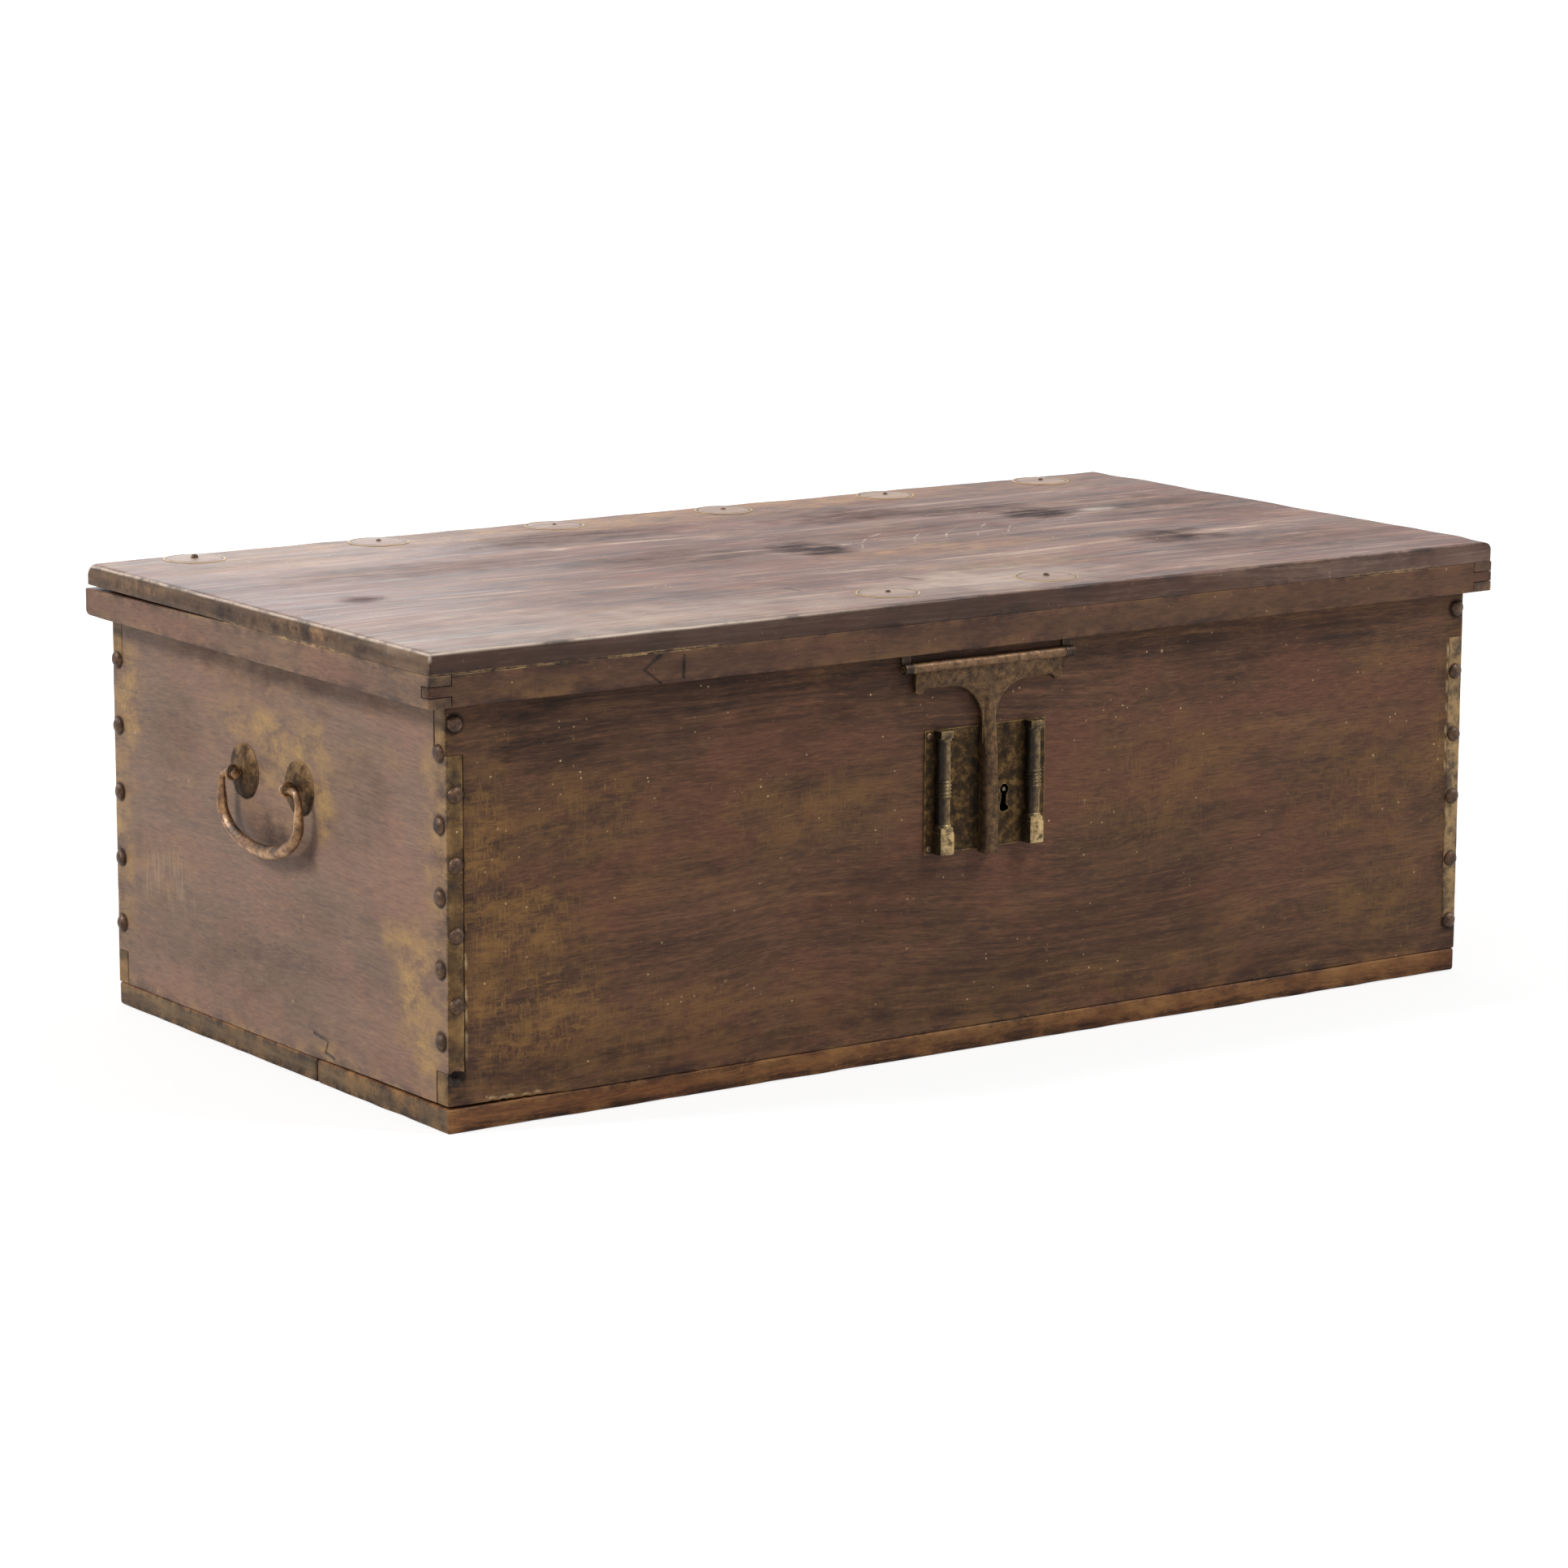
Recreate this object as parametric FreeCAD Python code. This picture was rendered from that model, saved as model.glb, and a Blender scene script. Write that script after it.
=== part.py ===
import FreeCAD, Part
import math
import os

from FreeCAD import Vector

# Coffer chest: a nailed hardwood box with a rimmed lid, a hasp lock and two bail handles.
# Frame in millimetres: X along the front to the right, Y from front to back, Z up.
# The origin is on the floor under the middle of the case.

# Case boards
CASE_LENGTH = 1150.0
CASE_DEPTH = 600.0
CASE_TOP = 404.0
WALL_THICKNESS = 19.0
END_THICKNESS = 17.0
BOTTOM_THICKNESS = 22.0
BOTTOM_FRONT_WIDTH = 227.0
BOTTOM_JOINT_GAP = 0.8
LOWER_HORN = 32.0
UPPER_HORN = 73.0

# Domed corner nails
NAIL_HEAD_RADIUS = 7.5
NAIL_HEAD_HEIGHT = 5.0
NAIL_SHANK_RADIUS = 2.0
NAIL_LENGTH = 32.0
NAIL_CLEARANCE = 0.05
FRONT_NAIL_COUNT = 6
FRONT_NAIL_LOWEST = 51.0
FRONT_NAIL_DROP = 45.0
FRONT_NAIL_INSET = 9.0
END_NAIL_COUNT = 5
END_NAIL_LOWEST = 80.5
END_NAIL_DROP = 71.0
END_NAIL_INSET = 10.5
LOST_NAIL = (-1, 0)

# Flush nails that come up through the bottom and through the rails of the lid
FLUSH_HEAD_RADIUS = 3.6
FLUSH_HEAD_HEIGHT = 1.4
FLUSH_SHANK_RADIUS = 1.6
BOTTOM_NAIL_LENGTH = 48.0
RAIL_NAIL_LENGTH = 42.0
BOTTOM_WALL_NAIL_SHARES = (-0.42, -0.25, -0.085, 0.085, 0.25, 0.42)
BOTTOM_END_NAIL_SHARES = (-0.3, 0.08, 0.36)
FRONT_RAIL_NAIL_SHARES = (-0.45, -0.32, -0.2, 0.2, 0.32, 0.45)
END_RAIL_NAIL_SHARES = (-0.3, 0.05, 0.4)

# Lid
LID_THICKNESS = 19.5
LID_END_OVERHANG = 24.0
LID_FRONT_OVERHANG = 12.7
LID_REAR_OVERHANG = 7.0
LID_CLEARANCE = 0.9
LID_END_ROUND = 7.0
LID_EDGE_ROUND = 3.0
RIM_HEIGHT = 29.0
RIM_REAR_ROUND = 10.0
RIM_FINGER_COUNT = 3

# Round patches on the lid and the nails through them
PATCH_RADIUS = 31.0
PATCH_EDGE = 0.7
PATCH_RISE = 2.0
LID_NAIL_SETBACK = 32.0
LID_NAIL_RADIUS = 2.2
LID_NAIL_HEAD_RADIUS = 3.8
LID_NAIL_HEAD_HEIGHT = 4.0
FRONT_PATCH_SETBACK = 45.0

# Hinge leaves, knuckles and pins
LEAF_THICKNESS = 2.5
LEAF_SEAT_GAP = 0.2
KNUCKLE_RADIUS = 5.0
KNUCKLE_STANDOFF = 0.5
KNUCKLE_GAP = 0.4
PIN_RADIUS = 2.5
PIN_CLEARANCE = 0.05
PIN_PROUD = 1.0
HINGE_COUNT = 3
HINGE_END_SETBACK = 60.0
HINGE_LENGTH = 230.0
HINGE_NAIL_INSET = 15.0
HINGE_END_KNUCKLE = 18.0
LID_LEAF_REACH = 60.0
CASE_LEAF_DROP = 70.0
LEAF_NAIL_HEAD_RADIUS = 5.0
LEAF_NAIL_HEAD_HEIGHT = 2.4
LEAF_NAIL_LENGTH = 16.0
LEAF_NAIL_SHARES = (-0.8, 0.0, 0.8)
LEAF_NAIL_RISE_SHARE = 0.4

# Hasp, hung from the rim of the lid
LOCK_X = -3.0
HASP_AXIS_DROP = 13.0
HASP_KNUCKLE = 172.0
HASP_END_KNUCKLE = 9.0
HASP_FLANGE_WIDTH = 240.0
HASP_FLANGE_REACH = 62.0
HASP_NAIL_LEFT_INSET = 43.0
HASP_NAIL_RIGHT_INSET = 17.0
HASP_YOKE_WIDTH = 165.0
HASP_YOKE_DROP = 20.0
HASP_YOKE_THICKNESS = 5.0
HASP_TIP_FALL = 4.5
HASP_TIP_WIDTH = 9.0
HASP_SWEEP = 36.0
HASP_STEM_WIDTH = 15.0
HASP_STEM_THICKNESS = 10.0
HASP_STEM_PAST_PLATE = 3.5
HASP_CLEARANCE = 0.5

# Staple on the back of the hasp
STAPLE_THICKNESS = 4.4
STAPLE_WALL = 3.0
STAPLE_BAR = 2.1
STAPLE_CLEARANCE = 0.8
STAPLE_SLOT_DROP = 2.0

# Lock plate and its two colonnettes
LOCK_PLATE_BORDER = 9.25
LOCK_PLATE_HEIGHT = 114.0
LOCK_PLATE_DROP = 59.5
LOCK_PLATE_THICKNESS = 2.5
LOCK_PLATE_PROUD = 1.5
LOCK_NAIL_INSET = 5.0
LOCK_NAIL_HEAD_RADIUS = 2.6
LOCK_NAIL_HEAD_HEIGHT = 1.2
LOCK_NAIL_SHANK_RADIUS = 1.2
LOCK_NAIL_LENGTH = 15.0
COLUMN_SPACING = 102.0
COLUMN_RADIUS = 6.4
COLUMN_AXIS_RISE = 5.0
COLUMN_RING_RISE = 1.4
COLUMN_RING_COUNT = 3
COLUMN_RING_PITCH = 4.4
COLUMN_RING_SHARE = 0.53
PLINTH_WIDTH = 15.5
PLINTH_PROUD = 12.4
PLINTH_HEIGHT = 25.0
CAPITAL_HEIGHT = 7.0

# Lock case, bolt and keyhole
LOCK_CASE_SIDE_MARGIN = 16.0
LOCK_CASE_MARGIN = 6.0
LOCK_CASE_DEPTH = 20.0
LOCK_CASE_WALL = 1.6
LOCK_CASE_CLEARANCE = 0.3
KEYHOLE_OFFSET = 22.0
KEYHOLE_RISE = 51.5
KEYHOLE_RADIUS = 4.8
KEYHOLE_SLOT = 4.8
KEYHOLE_REACH = 20.0
KEYHOLE_WARD = 2.6
KEYHOLE_WARD_HEIGHT = 5.0
KEY_POST_RADIUS = 1.7
KEY_POST_SETBACK = 0.4
BOLT_RISE = 17.0
BOLT_HEIGHT = 10.0
BOLT_THICKNESS = 2.8
BOLT_LENGTH = 34.0
BOLT_REST_GAP = 1.0
BOLT_CLEARANCE = 0.3
TALON_WIDTH = 8.0
TALON_DEPTH = 3.6
GUIDE_LENGTH = 4.0
GUIDE_WALL = 2.2
GUIDE_INSET = 2.5
SPRING_THICKNESS = 0.9
SPRING_FOOT = 6.0
SPRING_WALL_GAP = 1.2
SPRING_RISE = 10.0
SPRING_REACH = 22.0

# Lifting handles
HANDLE_HEIGHT = 264.0
EYE_SPACING = 100.0
EYE_RING_RADIUS = 5.6
EYE_WIRE_RADIUS = 1.9
EYE_SHANK_RADIUS = 2.6
EYE_SEAT_GAP = 0.3
CLENCH_LENGTH = 26.0
CLENCH_THICKNESS = 3.0
ROSE_RADIUS = 26.0
ROSE_EDGE = 1.0
ROSE_RISE = 5.0
BAIL_FLARE = 25.0
BAIL_DROP = 70.0
BAIL_ARM_DROP = 28.0
BAIL_BEND = 11.0
BAIL_END_RADIUS = 3.4
BAIL_ARM_RADIUS = 5.2
BAIL_GRIP_RADIUS = 6.5
BAIL_END_REACH = 8.0
BAIL_KNOB_RADIUS = 5.2

# How far every cutting tool runs past the face that it cuts
OVERRUN = 1.0

# Places worked out from the sizes above
half_length = CASE_LENGTH / 2
half_depth = CASE_DEPTH / 2
wall_inside = half_depth - WALL_THICKNESS
end_inside = half_length - END_THICKNESS
tongue_bottom = BOTTOM_THICKNESS + LOWER_HORN
tongue_top = CASE_TOP - UPPER_HORN
lid_end = half_length + LID_END_OVERHANG
lid_front = -half_depth - LID_FRONT_OVERHANG
lid_rear = half_depth + LID_REAR_OVERHANG
lid_top = CASE_TOP + LID_THICKNESS
rim_bottom = CASE_TOP - RIM_HEIGHT
rim_inside_end = half_length + LID_CLEARANCE
rim_inside_front = -half_depth - LID_CLEARANCE
leaf_bottom = CASE_TOP + LEAF_SEAT_GAP
leaf_top = leaf_bottom + LEAF_THICKNESS
knuckle_setback = KNUCKLE_RADIUS + KNUCKLE_STANDOFF
bore_radius = PIN_RADIUS + PIN_CLEARANCE
hinge_axis_y = half_depth + knuckle_setback
hinge_axis_z = CASE_TOP - knuckle_setback
lid_nail_y = lid_rear - LID_NAIL_SETBACK
front_patch_y = -half_depth + FRONT_PATCH_SETBACK
hasp_axis_y = -half_depth - knuckle_setback
hasp_axis_z = rim_bottom - HASP_AXIS_DROP
hasp_leaf_back = hasp_axis_y + KNUCKLE_RADIUS
hasp_leaf_front = hasp_leaf_back - LEAF_THICKNESS
hasp_leaf_half = HASP_KNUCKLE / 2 + KNUCKLE_GAP + HASP_END_KNUCKLE
plate_face = -half_depth - LOCK_PLATE_PROUD
plate_back = plate_face + LOCK_PLATE_THICKNESS
plate_width = COLUMN_SPACING + PLINTH_WIDTH + 2 * LOCK_PLATE_BORDER
plate_top = hasp_axis_z - LOCK_PLATE_DROP
plate_bottom = plate_top - LOCK_PLATE_HEIGHT
hasp_back = plate_face - HASP_CLEARANCE
lock_case_half = plate_width / 2 - LOCK_CASE_SIDE_MARGIN
lock_case_top = plate_top - LOCK_CASE_MARGIN
lock_case_bottom = plate_bottom + LOCK_CASE_MARGIN
lock_case_back = plate_back + LOCK_CASE_DEPTH
keyhole_x = LOCK_X + KEYHOLE_OFFSET
keyhole_z = plate_bottom + KEYHOLE_RISE
bolt_z = keyhole_z + BOLT_RISE
bolt_front = plate_back + BOLT_CLEARANCE
bolt_back = bolt_front + BOLT_THICKNESS
bolt_tip = LOCK_X + STAPLE_THICKNESS / 2 + BOLT_REST_GAP
bolt_tail = bolt_tip + BOLT_LENGTH
staple_tip = bolt_back + BOLT_CLEARANCE + STAPLE_BAR
staple_half_height = BOLT_HEIGHT / 2 + BOLT_CLEARANCE + STAPLE_WALL
eye_standoff = ROSE_RISE + EYE_RING_RADIUS + EYE_WIRE_RADIUS + EYE_SEAT_GAP
hinge_pitch = (CASE_LENGTH - HINGE_LENGTH - 2 * HINGE_END_SETBACK) / (HINGE_COUNT - 1)
hinge_centres = [(i - (HINGE_COUNT - 1) / 2) * hinge_pitch for i in range(HINGE_COUNT)]

UP = Vector(0, 0, 1)
parts = {}


# Shapes used all over the chest

def block(x_pair, y_pair, z_pair):
    """A box between two values on each axis, given in either order."""
    low = Vector(min(x_pair), min(y_pair), min(z_pair))
    high = Vector(max(x_pair), max(y_pair), max(z_pair))
    size = high - low
    return Part.makeBox(size.x, size.y, size.z, low)


def rod(start, end, radius):
    """A round bar between two points."""
    line = end - start
    return Part.makeCylinder(radius, line.Length, start, line)


def rod_along_x(x_pair, y, z, radius):
    """A round bar that lies along X."""
    return rod(Vector(min(x_pair), y, z), Vector(max(x_pair), y, z), radius)


def dome(radius, edge, rise):
    """A low round dome on the XY plane: a rim of height edge that swells to height rise."""
    swell = rise - edge
    sphere = (radius ** 2 + swell ** 2) / (2 * swell)
    half_angle = math.asin(radius / sphere) / 2
    middle = Vector(sphere * math.sin(half_angle), 0, rise - sphere + sphere * math.cos(half_angle))
    corners = [Vector(0, 0, 0), Vector(radius, 0, 0)]
    if edge > 0:
        corners.append(Vector(radius, 0, edge))
    top = Vector(0, 0, rise)
    edges = [Part.makeLine(a, b) for a, b in zip(corners, corners[1:])]
    edges.append(Part.Arc(corners[-1], middle, top).toShape())
    edges.append(Part.makeLine(top, corners[0]))
    return Part.Face(Part.Wire(edges)).revolve(Vector(0, 0, 0), UP, 360)


def aimed(shape, place, direction):
    """A copy of a shape made along +Z, turned to a direction and moved to a place."""
    copy = shape.copy()
    copy.Placement = FreeCAD.Placement(place, FreeCAD.Rotation(UP, direction))
    return copy


def joined(shapes):
    """One solid made of several."""
    return shapes[0].fuse(shapes[1:]).removeSplitter()


def prism(points, depth):
    """A closed outline of points, pushed along a vector."""
    return Part.Face(Part.makePolygon(points + points[:1])).extrude(depth)


def evenly(first, last, count):
    """Values at even steps from first to last."""
    return [first + (last - first) * i / (count - 1) for i in range(count)]


# Nails: each kind gives a nail or the hole that it fills

def domed_nail(head_radius, head_height, shank_radius, length):
    """A nail whose head swells along +Z from the face and whose shank runs along -Z."""
    head = dome(head_radius, 0, head_height)
    shank = rod(Vector(0, 0, -length), Vector(0, 0, 0), shank_radius)
    return joined([head, shank])


def nail_hole(shank_radius, length):
    """The hole of a domed nail."""
    radius = shank_radius + NAIL_CLEARANCE
    return rod(Vector(0, 0, -length - NAIL_CLEARANCE), Vector(0, 0, OVERRUN), radius)


def flush_nail(length, clearance):
    """A nail driven up along +Z whose flat head lies flush; a clearance makes it a hole."""
    head_bottom = -OVERRUN if clearance else 0
    head = rod(Vector(0, 0, head_bottom), Vector(0, 0, FLUSH_HEAD_HEIGHT), FLUSH_HEAD_RADIUS + clearance)
    shank = rod(Vector(0, 0, 0), Vector(0, 0, length + clearance), FLUSH_SHANK_RADIUS + clearance)
    return joined([head, shank])


def wall_nail_places(side):
    """Corner nails of the front (side -1) or back (side 1), with their outward direction."""
    heights = evenly(FRONT_NAIL_LOWEST, CASE_TOP - FRONT_NAIL_DROP, FRONT_NAIL_COUNT)
    inset = half_length - FRONT_NAIL_INSET
    out = Vector(0, side, 0)
    return [((end, row), Vector(end * inset, side * half_depth, z), out)
            for end in (-1, 1) for row, z in enumerate(heights)]


def end_nail_places(side):
    """Corner nails of the left (side -1) or right (side 1) end, with their outward direction."""
    heights = evenly(END_NAIL_LOWEST, CASE_TOP - END_NAIL_DROP, END_NAIL_COUNT)
    inset = half_depth - END_NAIL_INSET
    out = Vector(side, 0, 0)
    return [((corner, row), Vector(side * half_length, corner * inset, z), out)
            for corner in (-1, 1) for row, z in enumerate(heights)]


def corner_nail_holes():
    """Holes of all the domed nails, the lost one too."""
    hole = nail_hole(NAIL_SHANK_RADIUS, NAIL_LENGTH)
    places = []
    for side in (-1, 1):
        places += wall_nail_places(side) + end_nail_places(side)
    return [aimed(hole, place, out) for _, place, out in places]


def bottom_nail_places():
    """Where nails come up through the bottom into the walls."""
    wall_middle = half_depth - WALL_THICKNESS / 2
    end_middle = half_length - END_THICKNESS / 2
    along_walls = [Vector(share * CASE_LENGTH, side * wall_middle, 0)
                   for side in (-1, 1) for share in BOTTOM_WALL_NAIL_SHARES]
    along_ends = [Vector(side * end_middle, share * CASE_DEPTH, 0)
                  for side in (-1, 1) for share in BOTTOM_END_NAIL_SHARES]
    return along_walls + along_ends


def rail_nail_places():
    """Where nails come up through the rails into the lid board."""
    front_middle = (lid_front + rim_inside_front) / 2
    end_middle = (lid_end + rim_inside_end) / 2
    along_front = [Vector(share * CASE_LENGTH, front_middle, rim_bottom)
                   for share in FRONT_RAIL_NAIL_SHARES]
    along_ends = [Vector(side * end_middle, share * CASE_DEPTH, rim_bottom)
                  for side in (-1, 1) for share in END_RAIL_NAIL_SHARES]
    return along_front + along_ends


def lid_nail_places():
    """Nails through the lid: a pair over each hinge, and a pair over the hasp's flange."""
    across = HINGE_LENGTH / 2 - HINGE_NAIL_INSET
    rear = [Vector(centre + end * across, lid_nail_y, lid_top)
            for centre in hinge_centres for end in (-1, 1)]
    half_flange = HASP_FLANGE_WIDTH / 2
    front = [Vector(LOCK_X - half_flange + HASP_NAIL_LEFT_INSET, front_patch_y, lid_top),
             Vector(LOCK_X + half_flange - HASP_NAIL_RIGHT_INSET, front_patch_y, lid_top)]
    return rear + front


def leaf_nail_places(centre):
    """Nails that hold one hinge's leaf to the back of the case."""
    half = HINGE_LENGTH / 2 - HINGE_END_KNUCKLE
    z = CASE_TOP - CASE_LEAF_DROP * (1 - LEAF_NAIL_RISE_SHARE)
    return [Vector(centre + share * half, half_depth + LEAF_THICKNESS, z) for share in LEAF_NAIL_SHARES]


def lock_nail_places():
    """Nails at the corners of the lock plate."""
    across = plate_width / 2 - LOCK_NAIL_INSET
    return [Vector(LOCK_X + end * across, plate_face, z)
            for end in (-1, 1) for z in (plate_bottom + LOCK_NAIL_INSET, plate_top - LOCK_NAIL_INSET)]


def nail_nodes():
    """Every group of nails."""
    corner_nail = domed_nail(NAIL_HEAD_RADIUS, NAIL_HEAD_HEIGHT, NAIL_SHANK_RADIUS, NAIL_LENGTH)
    groups = {
        "front_corner_nails": [row for row in wall_nail_places(-1) if row[0] != LOST_NAIL],
        "back_corner_nails": wall_nail_places(1),
        "left_end_nails": end_nail_places(-1),
        "right_end_nails": end_nail_places(1),
    }
    for name, places in groups.items():
        parts[name] = Part.makeCompound([aimed(corner_nail, place, out) for _, place, out in places])
    bottom_nail = flush_nail(BOTTOM_NAIL_LENGTH, 0)
    parts["bottom_nails"] = Part.makeCompound([aimed(bottom_nail, p, UP) for p in bottom_nail_places()])
    rail_nail = flush_nail(RAIL_NAIL_LENGTH, 0)
    parts["lid_rail_nails"] = Part.makeCompound([aimed(rail_nail, p, UP) for p in rail_nail_places()])
    leaf_nail = domed_nail(LEAF_NAIL_HEAD_RADIUS, LEAF_NAIL_HEAD_HEIGHT, NAIL_SHANK_RADIUS, LEAF_NAIL_LENGTH)
    leaf_places = [place for centre in hinge_centres for place in leaf_nail_places(centre)]
    backward = Vector(0, 1, 0)
    parts["hinge_leaf_nails"] = Part.makeCompound([aimed(leaf_nail, p, backward) for p in leaf_places])
    lock_nail = domed_nail(LOCK_NAIL_HEAD_RADIUS, LOCK_NAIL_HEAD_HEIGHT, LOCK_NAIL_SHANK_RADIUS,
                           LOCK_NAIL_LENGTH)
    forward = Vector(0, -1, 0)
    parts["lock_plate_nails"] = Part.makeCompound([aimed(lock_nail, p, forward) for p in lock_nail_places()])
    lid_nail_length = lid_top + PATCH_RISE - leaf_bottom
    lid_nail = domed_nail(LID_NAIL_HEAD_RADIUS, LID_NAIL_HEAD_HEIGHT, LID_NAIL_RADIUS, lid_nail_length)
    on_patch = Vector(0, 0, PATCH_RISE)
    lid_nails = [aimed(lid_nail, place + on_patch, UP) for place in lid_nail_places()]
    parts["lid_hinge_nails"] = Part.makeCompound(lid_nails)


# Case

def wall_board(side):
    """The front or back board: its ends are notched for the tongues of the end boards."""
    y_pair = (side * wall_inside, side * half_depth)
    board = block((-half_length, half_length), y_pair, (BOTTOM_THICKNESS, CASE_TOP))
    notch_y = (side * (wall_inside - OVERRUN), side * (half_depth + OVERRUN))
    notches = [block((end * end_inside, end * (half_length + OVERRUN)), notch_y, (tongue_bottom, tongue_top))
               for end in (-1, 1)]
    return board.cut(notches)


def end_board(side):
    """An end board between the walls, with a tongue through each corner."""
    x_pair = (side * end_inside, side * half_length)
    panel = block(x_pair, (-wall_inside, wall_inside), (BOTTOM_THICKNESS, CASE_TOP))
    tongues = block(x_pair, (-half_depth, half_depth), (tongue_bottom, tongue_top))
    return joined([panel, tongues])


def lock_mortise():
    """The recess of the lock plate and the mortise of the lock case behind it."""
    half_plate = plate_width / 2
    recess = block((LOCK_X - half_plate, LOCK_X + half_plate), (-half_depth - OVERRUN, plate_back),
                   (plate_bottom, plate_top))
    half_case = lock_case_half + LOCK_CASE_CLEARANCE
    mortise = block((LOCK_X - half_case, LOCK_X + half_case), (-half_depth, -wall_inside + OVERRUN),
                    (lock_case_bottom - LOCK_CASE_CLEARANCE, lock_case_top + LOCK_CASE_CLEARANCE))
    return [recess, mortise]


def case_nodes():
    """The four walls and the two bottom boards."""
    corner_holes = corner_nail_holes()
    bottom_hole = flush_nail(BOTTOM_NAIL_LENGTH, NAIL_CLEARANCE)
    bottom_holes = [aimed(bottom_hole, place, UP) for place in bottom_nail_places()]
    wall_holes = corner_holes + bottom_holes
    lock_hole = nail_hole(LOCK_NAIL_SHANK_RADIUS, LOCK_NAIL_LENGTH)
    lock_holes = [aimed(lock_hole, place, Vector(0, -1, 0)) for place in lock_nail_places()]
    leaf_hole = nail_hole(NAIL_SHANK_RADIUS, LEAF_NAIL_LENGTH)
    leaf_holes = [aimed(leaf_hole, place, Vector(0, 1, 0))
                  for centre in hinge_centres for place in leaf_nail_places(centre)]
    parts["front_board"] = wall_board(-1).cut(wall_holes + lock_mortise() + lock_holes)
    parts["back_board"] = wall_board(1).cut(wall_holes + leaf_holes)
    for side, name in ((-1, "left"), (1, "right")):
        shank_holes = [eye_shank(side, corner, NAIL_CLEARANCE) for corner in (-1, 1)]
        parts[name + "_end_board"] = end_board(side).cut(wall_holes + shank_holes)
    joint = -half_depth + BOTTOM_FRONT_WIDTH
    spans = {"bottom_board_front": (-half_depth, joint - BOTTOM_JOINT_GAP),
             "bottom_board_rear": (joint, half_depth)}
    for name, y_pair in spans.items():
        board = block((-half_length, half_length), y_pair, (0, BOTTOM_THICKNESS))
        parts[name] = board.cut(bottom_holes)


# Lid

def lid_section(low, high, round_low, round_high):
    """Outline of the lid board seen along one side: flat below, with two rounded top corners."""
    diagonal_share = 1 - math.sqrt(0.5)
    start, end = Vector(low, 0, CASE_TOP), Vector(high, 0, CASE_TOP)
    low_side = Vector(low, 0, lid_top - round_low)
    low_middle = Vector(low + round_low * diagonal_share, 0, lid_top - round_low * diagonal_share)
    low_top = Vector(low + round_low, 0, lid_top)
    high_side = Vector(high, 0, lid_top - round_high)
    high_middle = Vector(high - round_high * diagonal_share, 0, lid_top - round_high * diagonal_share)
    high_top = Vector(high - round_high, 0, lid_top)
    edges = [
        Part.makeLine(start, end),
        Part.makeLine(end, high_side),
        Part.Arc(high_side, high_middle, high_top).toShape(),
        Part.makeLine(high_top, low_top),
        Part.Arc(low_top, low_middle, low_side).toShape(),
        Part.makeLine(low_side, start),
    ]
    return Part.Face(Part.Wire(edges))


def lid_blank():
    """The lid board with rounded ends and eased long edges."""
    lengthwise = lid_section(-lid_end, lid_end, LID_END_ROUND, LID_END_ROUND)
    lengthwise.translate(Vector(0, lid_front, 0))
    lengthwise = lengthwise.extrude(Vector(0, lid_rear - lid_front, 0))
    across = lid_section(lid_front, lid_rear, LID_EDGE_ROUND, LID_EDGE_ROUND)
    across.rotate(Vector(0, 0, 0), UP, 90)
    across.translate(Vector(-lid_end, 0, 0))
    across = across.extrude(Vector(2 * lid_end, 0, 0))
    return lengthwise.common(across)


def lid_recesses():
    """Shallow housings for the hinge flanges in the underside of the lid board."""
    z_pair = (CASE_TOP - OVERRUN, leaf_top)
    half_hinge = HINGE_LENGTH / 2
    rear = [block((centre - half_hinge, centre + half_hinge),
                  (half_depth - LID_LEAF_REACH, lid_rear + OVERRUN), z_pair) for centre in hinge_centres]
    half_flange = HASP_FLANGE_WIDTH / 2
    front = block((LOCK_X - half_flange, LOCK_X + half_flange),
                  (hasp_leaf_front, -half_depth + HASP_FLANGE_REACH), z_pair)
    return rear + [front]


def finger_heights():
    """Heights that part the fingers of the rim's front corners."""
    return evenly(rim_bottom, CASE_TOP, RIM_FINGER_COUNT + 1)


def corner_fingers(side, first):
    """Every second finger at one front corner of the rim, from the given one upwards."""
    heights = finger_heights()
    x_pair = (side * rim_inside_end, side * (lid_end + OVERRUN))
    y_pair = (lid_front - OVERRUN, rim_inside_front)
    return [block(x_pair, y_pair, heights[i:i + 2]) for i in range(first, RIM_FINGER_COUNT, 2)]


def front_rail():
    """The front rail, with middle fingers at its ends and a housing for the hasp's leaf."""
    rail = block((-lid_end, lid_end), (lid_front, rim_inside_front), (rim_bottom, CASE_TOP))
    housing = block((LOCK_X - hasp_leaf_half, LOCK_X + hasp_leaf_half),
                    (hasp_leaf_front, rim_inside_front + OVERRUN),
                    (rim_bottom - OVERRUN, CASE_TOP + OVERRUN))
    return rail.cut(corner_fingers(-1, 0) + corner_fingers(1, 0) + [housing])


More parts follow.
